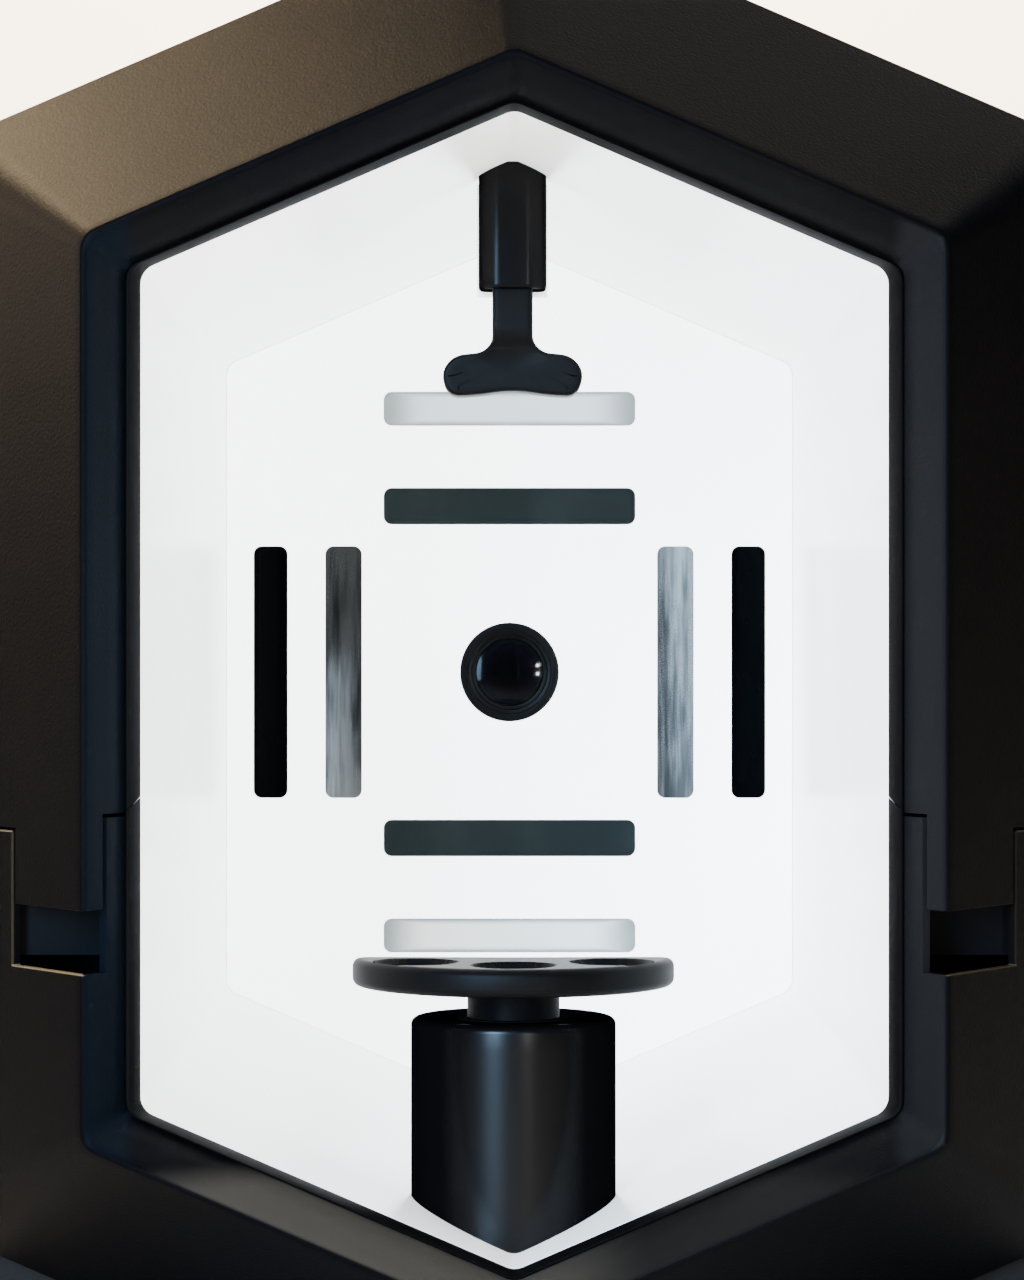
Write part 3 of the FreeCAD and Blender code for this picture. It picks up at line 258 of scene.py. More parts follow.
def silveredGlass():
    # a half-silvered bar whose base colour carries painted reflections, in long soft streaks along its length
    finish = Finish("silveredGlass", Metallic=1.0)
    reflectionStreaks = finish.noise(190.0, 3.0, 0.6, (1.0, 1.0, 0.07))
    reflectionWisps = finish.noise(40.0, 3.0, 0.6, (1.0, 1.0, 0.35))
    # the streaks and wisps are painted reflections in the coating's colour
    cover = finish.spread(reflectionStreaks * 0.7 + reflectionWisps * 0.5, 0.48, 0.72)
    finish.feed("Base Color", finish.blend((0.14, 0.16, 0.17), (0.72, 0.78, 0.82), cover))
    finish.feed("Roughness", 0.04 + reflectionStreaks * 0.05)
    return finish


def turnedMetal(name, dark, light, rough, metallic=1.0, scale=900.0, stretch=(1.0, 0.04, 1.0)):
    # fine drawn lines along one axis
    finish = Finish(name, Metallic=metallic, Specular_IOR_Level=0.05)
    lines = finish.noise(scale, 3.0, 0.6, stretch)
    patches = finish.noise(14.0, 3.0)
    finish.feed("Base Color", finish.blend(dark, light, finish.spread(lines * 0.6 + patches * 0.4, 0.3, 0.7)))
    finish.feed("Roughness", rough + (lines - 0.5) * 0.14)
    return finish.relief(lines, 0.01 * mm)


def satinPaint(name, frontAt, fade, coat):
    # smooth satin paint; its clear coat is thicker on the side that faced the spray gun
    finish = Finish(name, Coat_Roughness=0.26, Specular_IOR_Level=0.0)
    peel = finish.noise(520.0, 2.0)
    patches = finish.noise(16.0, 4.0, 0.6, (1.0, 1.0, 0.5))
    finish.feed("Base Color", finish.blend((0.0006, 0.0006, 0.0008), (0.0013, 0.0013, 0.0014), patches))
    finish.feed("Roughness", 0.30 + (patches - 0.5) * 0.12)
    front = finish.spread(finish.axis("Y"), frontAt, frontAt + fade, coat, 0.0)
    finish.feed("Coat Weight", front * (0.8 + patches * 0.4))
    return finish.relief(peel, 0.012 * mm)


def siliconePad():
    # skin-safe silicone: very fine tooth, light dust, soft sheen
    finish = Finish("siliconePad", Specular_IOR_Level=0.05)
    tooth = finish.noise(2300.0, 2.0, 0.6)
    dust = finish.spread(finish.noise(300.0, 4.0, 0.7), 0.58, 0.85)
    tone = finish.blend((0.0006, 0.0006, 0.0008), (0.0013, 0.0013, 0.0013), finish.noise(22.0, 3.0))
    finish.feed("Base Color", finish.blend(tone, (0.012, 0.012, 0.012), dust * 0.10))
    finish.feed("Roughness", 0.46 + (tooth - 0.5) * 0.15)
    return finish.relief(tooth, 0.02 * mm)


def coatedLens():
    # dark glass with a violet and green bloom that changes with the distance from the axis
    finish = Finish("coatedLens", Roughness=0.05, Specular_IOR_Level=0.06)
    glass = 12.5 * mm
    across = finish.axis("X") / glass
    rise = (finish.axis("Z") - lensZ) / glass
    reach = across * across + rise * rise
    bloom = finish.blend((0.0006, 0.0006, 0.0008), (0.0012, 0.0010, 0.0022), finish.spread(reach, 0.1, 0.7))
    finish.feed("Base Color", finish.blend(bloom, (0.0012, 0.0020, 0.0020), finish.spread(reach, 0.6, 1.0)))
    return finish


def circuitBoard():
    # solder mask over copper tracks that run in two directions
    finish = Finish("circuitBoard", Coat_Weight=0.5, Coat_Roughness=0.15)
    track = (finish.axis("X") * 1900.0).wave() * (finish.axis("Z") * 1500.0).wave()
    mask = finish.spread(track, 0.15, 0.35)
    finish.feed("Base Color", finish.blend((0.010, 0.075, 0.030), (0.030, 0.17, 0.07), mask))
    finish.feed("Roughness", 0.35 + finish.noise(90.0) * 0.15)
    return finish.relief(mask, 0.03 * mm)


finishes = {
    "shell": softTouchShell(),
    "bezel": mouldedPlastic("bezelPlastic", (0.0012, 0.0012, 0.0014), (0.0024, 0.0023, 0.0023), 0.36,
                            specular=0.009),
    "cover": mouldedPlastic("coverPlastic", (0.003, 0.003, 0.0033), (0.006, 0.006, 0.006), 0.55,
                            0.05 * mm, 1300.0, specular=0.1),
    "plinth": mouldedPlastic("plinthPlastic", (0.0016, 0.0016, 0.0018), (0.0034, 0.0033, 0.0033), 0.50,
                             0.05 * mm, 1500.0, specular=0.06),
    "darkPlastic": mouldedPlastic("darkPlastic", (0.0009, 0.0010, 0.0014), (0.0018, 0.0018, 0.0021), 0.45,
                                  specular=0.02),
    "gloss": mouldedPlastic("glossPlastic", (0.006, 0.006, 0.0065), (0.010, 0.010, 0.010), 0.18,
                            0.005 * mm, 900.0, 0.6),
    "bushing": mouldedPlastic("bushingPlastic", (0.002, 0.002, 0.002), (0.004, 0.004, 0.004), 0.9, specular=0.0),
    "rubber": mouldedPlastic("footRubber", (0.014, 0.014, 0.014), (0.034, 0.033, 0.032), 0.80, 0.08 * mm, 900.0),
    "phosphor": mouldedPlastic("lampPhosphor", (0.72, 0.55, 0.12), (0.86, 0.74, 0.32), 0.35),
    "liner": chamberWhite("chamberLacquer", (0.85, 0.84, 0.82), (0.87, 0.865, 0.85), 0.26, 0.52,
                          corners("light_chamber_liner")[1][1] + 1.0 * mm),
    "panel": chamberWhite("panelLacquer", (0.84, 0.85, 0.865), (0.87, 0.875, 0.885), 0.38, 3.0,
                          corners("rear_light_panel")[0][1] + 1.0 * mm),
    "opal": opalDiffuser(),
    "blackGlass": glassBar("blackGlass", (0.0001, 0.0002, 0.0003), (0.0003, 0.0005, 0.0008), 0.06),
    "mirrorGlass": silveredGlass(),
    "greenGlass": glassBar("greenGlass", (0.0066, 0.0092, 0.0096), (0.0098, 0.0132, 0.0138), 0.10),
    "sheet": turnedMetal("sheetAluminium", (0.44, 0.45, 0.46), (0.60, 0.61, 0.62), 0.34),
    "zinc": turnedMetal("zincSteel", (0.40, 0.41, 0.40), (0.62, 0.62, 0.58), 0.30, 1.0, 300.0),
    "anodised": turnedMetal("anodisedBlack", (0.0004, 0.0004, 0.0005), (0.0010, 0.0010, 0.0011), 0.34, 0.0),
    "blackOxide": turnedMetal("blackOxide", (0.020, 0.020, 0.021), (0.050, 0.049, 0.048), 0.36, 0.8),
    "column": satinPaint("columnPaint", corners("chin_column")[0][1], 9 * mm, 0.25),
    "sleeve": satinPaint("sleevePaint", corners("forehead_sleeve")[0][1], 5 * mm, 0.12),
    "silicone": siliconePad(),
    "lens": coatedLens(),
    "board": circuitBoard(),
}
nodeFinish = {
    "rear_light_panel": "panel", "light_chamber_liner": "liner", "sleeve_backing": "liner",
    "uv_windows": "blackGlass", "mirror_windows": "mirrorGlass", "dark_filter_windows": "greenGlass",
    "opal_diffusers": "opal", "rear_housing": "shell", "upper_cowl": "shell", "lower_front_shell": "shell",
    "back_cover": "cover", "plinth": "plinth", "plinth_bottom_plate": "sheet", "upper_bezel": "bezel",
    "lower_bezel": "bezel", "strike_plates": "zinc", "hinge_pin": "zinc", "catch_magnets": "zinc",
    "front_bulkhead": "darkPlastic", "rear_bulkhead": "sheet", "catch_blocks": "darkPlastic",
    "led_boards": "board", "led_chips": "phosphor", "lens_barrel": "anodised", "lens_focus_ring": "anodised",
    "lens_retaining_ring": "anodised", "lens_front_glass": "lens", "camera_body": "anodised",
    "camera_bracket": "sheet", "cover_pillars": "zinc", "back_cover_screws": "blackOxide",
    "bottom_plate_screws": "blackOxide", "power_button_bezel": "darkPlastic", "power_button": "gloss",
    "button_switch": "darkPlastic", "control_board": "board", "board_standoffs": "zinc",
    "power_supply": "sheet", "dc_inlet": "gloss", "usb_sockets": "zinc", "fan_frame": "darkPlastic",
    "fan_rotor": "darkPlastic", "forehead_sleeve": "sleeve", "forehead_rest": "silicone",
    "chin_column": "column", "column_bushing": "bushing", "chin_stem": "darkPlastic",
    "chin_plate": "silicone", "rubber_feet": "rubber",
}
for node, finishName in nodeFinish.items():
    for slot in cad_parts[node].material_slots:
        slot.material = finishes[finishName].material
print("finishes made:", len(finishes))


def surface(name, points, finish, wrapRows=False, wrapColumns=False, keep=None, sharp=32):
    # cell (i, j) of a grid of points becomes the quad (i, j), (i, j+1), (i+1, j+1), (i+1, j); all the faces
    # turn over where the sum of normal . (face middle - whole middle) is negative
    rows, columns = points.shape[:2]
    index = np.arange(rows * columns).reshape(rows, columns)
    if wrapRows:
        index = np.vstack([index, index[:1]])
    if wrapColumns:
        index = np.hstack([index, index[:, :1]])
    quads = np.stack([index[:-1, :-1], index[:-1, 1:], index[1:, 1:], index[1:, :-1]], -1)
    quads = quads[keep] if keep is not None else quads.reshape(-1, 4)
    flat = points.reshape(-1, 3)
    corner = flat[quads]
    normal = np.cross(corner[:, 2] - corner[:, 0], corner[:, 3] - corner[:, 1])
    if (normal * (corner.mean(1) - corner.mean((0, 1)))).sum() < 0:
        quads = quads[:, ::-1]
    mesh = bpy.data.meshes.new(name)
    mesh.from_pydata(flat.tolist(), [], quads.tolist())
    tidy = bmesh.new()
    tidy.from_mesh(mesh)
    bmesh.ops.remove_doubles(tidy, verts=tidy.verts, dist=1e-6)
    bmesh.ops.delete(tidy, geom=[vert for vert in tidy.verts if not vert.link_faces], context="VERTS")
    tidy.to_mesh(mesh)
    tidy.free()
    mesh.polygons.foreach_set("use_smooth", np.ones(len(mesh.polygons), bool))
    mesh.set_sharp_from_angle(angle=math.radians(sharp))
    mesh.materials.append(finishes[finish].material)
    piece = bpy.data.objects.new(name, mesh)
    bpy.context.scene.collection.objects.link(piece)
    return piece


def softened(points, reach, steps=4, closed=False, measure=2):
    # every corner becomes a rational parabola, a true arc where both its arms have the same length:
    # ((1-t)^2 a + 2t(1-t)w p + t^2 b) / ((1-t)^2 + 2t(1-t)w + t^2), with w the cosine of half the turn
    points = np.asarray(points, float)
    reaches = np.broadcast_to(reach, len(points))
    share = np.linspace(0, 1, steps + 1)[:, None]
    out = []
    for place, point in enumerate(points):
        if not closed and place in (0, len(points) - 1):
            out.append(point[None])
            continue
        arms, ways = [], []
        for other in (points[place - 1], points[(place + 1) % len(points)]):
            arm = other - point
            length = max(np.linalg.norm(arm[:measure]), 1e-12)
            arms.append(point + arm * min(reaches[place] / length, 0.5))
            ways.append(arm[:measure] / length)
        pull = math.sqrt(max(1 - ways[0] @ ways[1], 0) / 2)
        middle = 2 * share * (1 - share) * pull
        top = (1 - share)**2 * arms[0] + middle * point + share**2 * arms[1]
        out.append(top / ((1 - share)**2 + middle + share**2))
    return np.vstack(out)


def lathe(name, profile, middle, axis, finish, steps=64, wobble=None, sharp=32):
    # a profile of radius r and distance d turned round an axis through `middle`: (r cos a, r sin a, d)
    profile = np.asarray(profile, float)
    turn = np.linspace(0, 2 * math.pi, steps, endpoint=False)[:, None]
    radius = profile[None, :, 0] * np.ones_like(turn)
    if wobble is not None:
        radius = radius + wobble(turn, profile[None, :, 1], radius)
    along = profile[None, :, 1] * np.ones_like(turn)
    parts = [radius * np.cos(turn), radius * np.sin(turn)]
    order = {"x": (along, parts[0], parts[1]), "y": (parts[0], along, parts[1]),
             "z": (parts[0], parts[1], along)}[axis]
    return surface(name, np.stack(order, -1) + np.asarray(middle), finish, wrapRows=True, sharp=sharp)


def softBlock(name, low, high, rounding, finish, cells=6):
    # a box p becomes q + rounding (p - q) / |p - q|, with q the nearest point of the box shrunk by `rounding`
    low, high = np.asarray(low, float), np.asarray(high, float)
    half = (high - low) / 2
    step = np.concatenate([np.linspace(-1, -0.7, cells), np.linspace(0.7, 1, cells)])
    pieces = []
    for side in range(3):
        for sign in (-1, 1):
            first, second = np.meshgrid(step, step, indexing="ij")
            face = np.zeros((*first.shape, 3))
            face[..., side] = sign
            face[..., (side + 1) % 3] = first
            face[..., (side + 2) % 3] = second * sign
            pieces.append(face)
    shape = pieces[0].shape
    cube = np.stack(pieces) * half
    # grid lines near each edge are spaced over the rounding
    edge = np.abs(cube) > half * 0.699
    squeezed = np.sign(cube) * (half - (half - np.abs(cube)) / (half * 0.3) * rounding * 1.05)
    cube = np.where(edge, squeezed, cube)
    inner = np.clip(cube, -(half - rounding), half - rounding)
    away = cube - inner
    length = np.linalg.norm(away, axis=-1, keepdims=True)
    cube = inner + away / np.maximum(length, 1e-12) * rounding
    count = shape[0]
    whole = cube.reshape(6 * count, count, 3) + (low + high) / 2
    keep = np.ones((6 * count - 1, count - 1), bool)
    keep[count - 1::count] = False
    return surface(name, whole, finish, keep=keep)


def ride(piece, body, slot, *nodes):
    # the piece moves with its body and takes the place of the CAD nodes
    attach(piece, body)
    if nodes:
        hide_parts(*nodes)
    return piece


def bevelled(piece, width, segments=2, angle=40):
    # edges that turn by more than `angle` degrees are rounded over `width`
    bevel = piece.modifiers.new("edge", "BEVEL")
    bevel.width = width
    bevel.segments = segments
    bevel.limit_method = "ANGLE"
    bevel.angle_limit = math.radians(angle)
    bevel.harden_normals = True
    return piece


def walled(piece, thickness):
    # the surface gets a wall on its inner side
    wall = piece.modifiers.new("wall", "SOLIDIFY")
    wall.thickness = thickness
    wall.offset = -1
    return piece


hexagon = dict(arcSteps=7, notchReach=19 * mm, roofCells=3)


def hexRing(stations, sideHeights):
    # stations are rows of depth, half width, apex height and corner radius.  A corner's arc turns
    # from one facet's normal to the next; a facet's rows lie on the straight line between two arcs.
    depth, width, height, radius = np.asarray(stations, float).T
    rim = math.hypot(1, roofSlope)
    tilt = math.atan2(1, roofSlope)
    apexZ = height - radius * rim
    sideX = width - radius
    sideZ = height - roofSlope * sideX - radius * rim
    zero = np.zeros_like(width)
    centreX = [zero, sideX, sideX, zero, -sideX, -sideX]
    centreUp = [apexZ, sideZ, -sideZ, -apexZ, -sideZ, sideZ]
    normals = [tilt, 0, -tilt, tilt - math.pi, -math.pi, -math.pi - tilt]
    rows = []
    for corner in range(6):
        before = normals[corner - 1] if corner else math.pi - tilt
        turn = np.linspace(before, normals[corner], hexagon["arcSteps"])[:, None]
        arc = np.stack([centreX[corner] + radius * np.cos(turn), centreUp[corner] + radius * np.sin(turn)], -1)
        rows.append(arc)
        after = (corner + 1) % 6
        facing = np.array([math.cos(normals[corner]), math.sin(normals[corner])])
        end = np.stack([centreX[after], centreUp[after]], -1) + radius[:, None] * facing
        start = arc[-1]
        if corner in (1, 4):
            levels = np.array(sideHeights if corner == 1 else sideHeights[::-1])[:, None]
            share = (levels - start[:, 1]) / (end[:, 1] - start[:, 1])
        else:
            # one row keeps a fixed distance from the ridge, for the hinge notch
            gap = (hexagon["notchReach"] - np.abs(start[:, 0])) / (np.abs(end[:, 0]) - np.abs(start[:, 0]))
            if corner in (2, 5):
                gap = 1 - (hexagon["notchReach"] - np.abs(end[:, 0])) / (np.abs(start[:, 0]) - np.abs(end[:, 0]))
            others = np.linspace(0, 1, hexagon["roofCells"] + 2)[1:-1, None] * np.ones_like(gap)
            near = others * (1 - gap) + gap if corner in (0, 3) else others * gap
            share = np.vstack([gap[None], near]) if corner in (0, 3) else np.vstack([near, gap[None]])
        rows.append(start + share[..., None] * (end - start))
    flat = np.vstack(rows)
    y = np.broadcast_to(frontY + depth, flat.shape[:2])
    return np.stack([flat[..., 0], y, centreZ + flat[..., 1]], -1)


def cellMiddles(points):
    # the mean of each cell's four corners, on a ring that closes on itself
    wrapped = np.vstack([points, points[:1]])
    return (wrapped[:-1, :-1] + wrapped[1:, 1:] + wrapped[1:, :-1] + wrapped[:-1, 1:]) / 4


# half widths with apex heights, depths from the front edge and seam heights from the middle, in millimetres
facets = dict(
    front=(121.5, 180.4), mouth=(111.7, 169.5), outer=(172.0, 237.6), mouthDepth=18.0, facetDepth=70.0,
    collarEnd=24.0, collarRadius=6.0, frontRadius=7.0, outerRadius=20.0, tongue=(116.9, 144.7), gap=1.0,
    tongueBottom=-62.0, notchBottom=-80.0, sideSeam=-40.0, earSeam=-35.0, bezelSeam=-30.5, bezelGap=0.3,
    edgeWidths=(118.5, 124.5), edgeReach=2.2, edgeBevel=0.6, rearRows=(66.0, 67.6, 68.35), wall=2.6,
    hingeCut=65.9, hingeCutAbove=150.0, plainRows=(90, 60, 30, 0, -95))


def facetStation(depth):
    # the slanted facets widen evenly to the housing: front + (outer - front) depth / facetDepth
    share = depth / facets["facetDepth"]
    sizes = [a + (b - a) * share for a, b in zip(facets["front"], facets["outer"])]
    radius = facets["frontRadius"] + (facets["outerRadius"] - facets["frontRadius"]) * share
    return [depth, *sizes, radius]


def mouthStation(width):
    # the mouth's chamfer narrows evenly to the bezel: front + (mouth - front) depth / mouthDepth
    share = (facets["front"][0] - width) / (facets["front"][0] - facets["mouth"][0])
    height = facets["front"][1] + (facets["mouth"][1] - facets["front"][1]) * share
    return [facets["mouthDepth"] * share, width, height, facets["frontRadius"] - share]


def facetAtWidth(width):
    # facetStation turned round: depth = facetDepth (width - front) / (outer - front)
    share = (width - facets["front"][0]) / (facets["outer"][0] - facets["front"][0])
    return facetStation(share * facets["facetDepth"])


def frontProfile():
    # collar, chamfer, rounded front edge, facet; the wall's thickness fills the last stretch up to facetDepth
    inner, outer = facets["tongue"]
    gap = facets["gap"]
    chamfer = [[facets["collarEnd"], *facets["mouth"], facets["collarRadius"]],
               *(mouthStation(width) for width in (facets["mouth"][0], inner - gap, inner))]
    before, after = facets["edgeWidths"]
    edge = softened([mouthStation(before), facetStation(0), facetAtWidth(after)], facets["edgeReach"], 6)
    rear = [facetStation(depth) for depth in facets["rearRows"]]
    side = [facetAtWidth(outer), facetAtWidth(outer + gap)]
    return np.vstack([chamfer, edge, side, rear]) * mm


seamRows = [facets[key] for key in ("bezelSeam", "earSeam", "sideSeam", "tongueBottom", "notchBottom")]
sideHeights = sorted([*facets["plainRows"], *seamRows, *(row - facets["gap"] for row in seamRows[1:3]),
                      facets["bezelSeam"] - facets["bezelGap"]], reverse=True)
sideHeights = np.array(sideHeights) * mm
frontPoints = hexRing(frontProfile(), sideHeights)
middles = cellMiddles(frontPoints)
reachX = np.abs(middles[..., 0]) / mm
level = (middles[..., 2] - centreZ) / mm
inner, outer = facets["tongue"]
gap = facets["gap"]
inNotch = (reachX > inner - gap) & (reachX < outer + gap)
inTongue = (reachX > inner) & (reachX < outer)
seam = np.where(reachX < inner, facets["earSeam"], facets["sideSeam"])
upperCells = level > np.where(inTongue, facets["tongueBottom"], seam)
upperCells &= ~(inNotch & ~inTongue & (level < seam))
lowerCells = level < np.where(inNotch, facets["notchBottom"], seam - gap)

# the cowl's rear edge is cut away beside the ridge, for the hinge
relief = ((np.abs(middles[..., 0]) < hexagon["notchReach"]) & (level > facets["hingeCutAbove"])
          & (middles[..., 1] > frontY + facets["hingeCut"] * mm))
cowl = surface("cowlShell", frontPoints, "shell", wrapRows=True, keep=upperCells & ~relief)
lowerShell = surface("lowerShell", frontPoints, "shell", wrapRows=True, keep=lowerCells)
for piece, body, node in ((cowl, "cowl", "upper_cowl"), (lowerShell, "booth", "lower_front_shell")):
    walled(piece, facets["wall"] * mm)
    bevelled(piece, facets["edgeBevel"] * mm, 3)
    ride(piece, body, "shell_black", node)

# stations of depth, half width, apex height and corner radius; the seam's rows fall by `fall` for each
# step outwards of `inside`
bezel = dict(stations=[[24.0, 110.9, 168.7, 6.0], [18.0, 111.45, 169.25, 6.0], [17.55, 110.4, 168.6, 6.0],
                       [23.9, 107.5, 166.95, 6.0], [24.0, 110.9, 168.7, 6.0]],
             rounding=0.35, inside=107.6, width=3.9, fall=1.1, seamReach=0.6)
bezelProfile = softened(bezel["stations"], bezel["rounding"], 3) * mm
bezelPoints = hexRing(bezelProfile, sideHeights)
bezelMiddles = cellMiddles(bezelPoints)
bezelLevel = (bezelMiddles[..., 2] - centreZ) / mm
outwards = np.clip(np.abs(bezelPoints[..., 0]) / mm - bezel["inside"], 0, bezel["width"])
besideSeam = np.abs((bezelPoints[..., 2] - centreZ) / mm - facets["bezelSeam"]) < bezel["seamReach"]
bezelPoints[..., 2] -= np.where(besideSeam, outwards * bezel["fall"], 0) * mm
upperBezel = surface("bezelUpper", bezelPoints, "bezel", wrapRows=True, keep=bezelLevel > facets["bezelSeam"])
lowerBezel = surface("bezelLower", bezelPoints, "bezel", wrapRows=True,
                     keep=bezelLevel < facets["bezelSeam"] - facets["bezelGap"])
ride(upperBezel, "cowl", "bezel_grey", "upper_bezel")
ride(lowerBezel, "booth", "bezel_grey", "lower_bezel")

# each station of the housing has its own rounding; the chamfer in front keeps it behind the facets
tub = dict(stations=[(71.0, 167.6, 233.2, 19.0), (71.0, 170.4, 236.0, 20.0), (76.5, 172.0, 237.6, 20.0),
                     (230.0, 172.0, 237.6, 20.0), (390.0, 172.0, 237.6, 20.0), (430.0, 158.0, 222.36, 19.0),
                     (430.0, 155.4, 219.5, 18.0)],
           roundings=[0, 0.8, 2.0, 0.01, 9.0, 1.2, 0], rows=(100, 50, 0, -50, -100), hingeCut=76.4, edgeBevel=0.4)
housingProfile = softened(tub["stations"], tub["roundings"], 5) * mm
housingPoints = hexRing(housingProfile, np.array(tub["rows"]) * mm)
housingMiddles = cellMiddles(housingPoints)
hingeNotch = ((np.abs(housingMiddles[..., 0]) < hexagon["notchReach"])
              & (housingMiddles[..., 2] > centreZ + facets["hingeCutAbove"] * mm)
              & (housingMiddles[..., 1] < frontY + tub["hingeCut"] * mm))
housing = surface("housingShell", housingPoints, "shell", wrapRows=True, keep=~hingeNotch)
walled(housing, facets["wall"] * mm)
bevelled(housing, tub["edgeBevel"] * mm)
ride(housing, "booth", "shell_black", "rear_housing")

# the liner flares a little towards the mouth
liner = dict(mouth=167.0, rear=164.8, width=107.5, wall=2.3, start=24.3, end=376.0, corner=(6.0, 8.0),
             rise=(2.2, 2.5))    # the outside stands higher than the inside at the mouth and at the rear
linerWide = liner["width"] + liner["wall"]
linerInside = [[liner["start"], liner["width"], liner["mouth"], liner["corner"][0]],
               [liner["end"], liner["width"], liner["rear"], liner["corner"][0]]]
linerOutside = [[liner["end"], linerWide, liner["rear"] + liner["rise"][1], liner["corner"][1]],
                [liner["start"], linerWide, liner["mouth"] + liner["rise"][0], liner["corner"][1]]]
linerProfile = np.array([*linerInside, *linerOutside, linerInside[0]]) * mm
ride(surface("chamberLiner", hexRing(linerProfile, np.array([80, 0, -80]) * mm), "liner", wrapRows=True),
     "booth", "liner_white", "light_chamber_liner")
print("six-sided shells made")


hinge = dict(radius=5.0 * mm, y=frontY + 70.5 * mm, z=centreZ + 239.1 * mm, pin=1.5 * mm, slack=0.05 * mm,
             half=18 * mm, middle=8 * mm, gap=0.3 * mm, edge=0.6 * mm, webReach=6.4 * mm,
             webDrop=(10 * mm, 2.2 * mm), webRounding=0.8 * mm)


def knuckle(name, start, end, body):
    # a short tube round the pin, with rounded rims
    half = (end - start) / 2
    bore, radius = hinge["pin"] + hinge["slack"], hinge["radius"]
    ring = softened([(bore, -half), (radius, -half), (radius, half), (bore, half)], hinge["edge"], 3)
    barrel = lathe(name, np.vstack([ring, ring[:1]]), ((start + end) / 2, hinge["y"], hinge["z"]), "x", "shell", 40)
    return ride(barrel, body, "shell_black")


def web(name, start, end, reach, body):
    # the block that joins a knuckle to its shell, `reach` deep from the pin
    low, high = sorted((hinge["y"], hinge["y"] + reach))
    bottom, top = (hinge["z"] - drop for drop in hinge["webDrop"])
    block = softBlock(name, (start, low, bottom), (end, high, top), hinge["webRounding"], "shell")
    return ride(block, body, "shell_black")


knuckle("cowlKnuckle", -hinge["middle"], hinge["middle"], "cowl")
web("cowlWeb", -hinge["middle"], hinge["middle"], -hinge["webReach"], "cowl")
for side, name in ((1, "Right"), (-1, "Left")):
    start, end = sorted((side * (hinge["middle"] + hinge["gap"]), side * hinge["half"]))
    knuckle(f"housingKnuckle{name}", start, end, "booth")
    web(f"housingWeb{name}", start, end, hinge["webReach"], "booth")
print("hinge made")

chin = dict(rim=2.6 * mm, dish=12.5 * mm, dishDepth=3.6 * mm, power=1.15, lip=0.05, setbacks=(16 * mm, 28 * mm),
            spacing=29.5 * mm, columnRim=2.3 * mm, columnBore=17 * mm, rimReach=8 * mm, stemEdge=0.8 * mm)


def chinPlate():
    # rings run from the middle out to a D-shaped rim, over the rounded edge and back under; the top sinks
    # into three dishes, each by dishDepth b^power (1 + lip) / (b + lip), with b = 1 - (distance / dish)^2
    low, high = corners("chin_plate")
    radius = (high[0] - low[0]) / 2
    middleY = low[1] + radius
    back = high[1]
    edgeTurn = math.asin((back - middleY) / radius)
    bow = np.linspace(edgeTurn, -math.pi - edgeTurn, 97)
    arc = np.stack([radius * np.cos(bow), middleY + radius * np.sin(bow)], -1)
    straight = np.linspace(arc[-1], arc[0], 50)[1:-1]
    loop = np.vstack([arc, straight])
    corner = softenedLoop(loop, 5)
    middle = np.array([0.0, (low[1] + back) / 2])
    share = np.concatenate([np.linspace(0, 0.96, 46), np.linspace(0.97, 1, 5)])
    rim, lip = chin["rim"], chin["lip"]
    inset = corner + (middle - corner) / np.linalg.norm(middle - corner, axis=1, keepdims=True) * rim
    flat = middle + share[:, None, None] * (inset - middle)
    height = np.full(flat.shape[:2], high[2])
    for x, setback in ((0, chin["setbacks"][0]), (chin["spacing"], chin["setbacks"][1]),
                       (-chin["spacing"], chin["setbacks"][1])):
        away = np.hypot(flat[..., 0] - x, flat[..., 1] - (low[1] + setback)) / chin["dish"]
        bowl = np.clip(1 - away**2, 0, 1)
        height -= chin["dishDepth"] * np.where(bowl > 0, bowl**chin["power"] / (bowl + lip) * (1 + lip), 0)
    top = np.concatenate([flat, height[..., None]], -1)
    bend = np.linspace(0, math.pi / 2, 6)[1:, None]
    outward = (corner - inset)[None]
    turned = np.concatenate([inset[None] + outward * np.sin(bend)[..., None],
                             np.broadcast_to(high[2] - rim * (1 - np.cos(bend))[..., None], (5, len(corner), 1))], -1)
    under = turned[::-1].copy()
    under[..., 2] = low[2] + high[2] - under[..., 2]
    base = top[::-6].copy()
    base[..., 2] = low[2]
    whole = np.concatenate([top, turned, under, base])
    plate = surface("chinRestPlate", whole, "silicone", wrapColumns=True, sharp=60)
    return ride(plate, "chin", "rest_grey", "chin_plate")


def softenedLoop(loop, times):
    # each pass moves a point a quarter of the way to the middle of its two neighbours
    for _ in range(times):
        loop = loop * 0.5 + (np.roll(loop, 1, 0) + np.roll(loop, -1, 0)) * 0.25
    return loop


def chinColumn():
    # a tube whose foot follows the two slopes of the chamber floor: height = apex + roofSlope |x|
    low, high = corners("chin_column")
    radius = (high[0] - low[0]) / 2
    bore = chin["columnBore"]
    middle = (low[:2] + high[:2]) / 2
    turn = np.linspace(0, 2 * math.pi, 128, endpoint=False)[:, None]
    top, shoulder = high[2], high[2] - chin["rimReach"]
    rim = softened([(bore, shoulder), (bore, top), (radius, top), (radius, shoulder)], chin["columnRim"], 8)
    foot = np.array([(radius, 0.0), (bore, 0.0)])
    around = np.vstack([rim, foot])
    spread = around[None, :, 0] * np.ones_like(turn)
    x, y = spread * np.cos(turn), spread * np.sin(turn)
    z = around[None, :, 1] * np.ones_like(turn)
    apex = centreZ - (liner["mouth"] + 0.4) * mm
    z[:, -2:] = np.maximum(apex + roofSlope * np.abs(x[:, -2:]), apex + 0.4 * mm)
    points = np.stack([x + middle[0], y + middle[1], z], -1)
    column = surface("chinColumn", points, "column", wrapRows=True, wrapColumns=True)
    return ride(column, "booth", "satin_black", "chin_column")


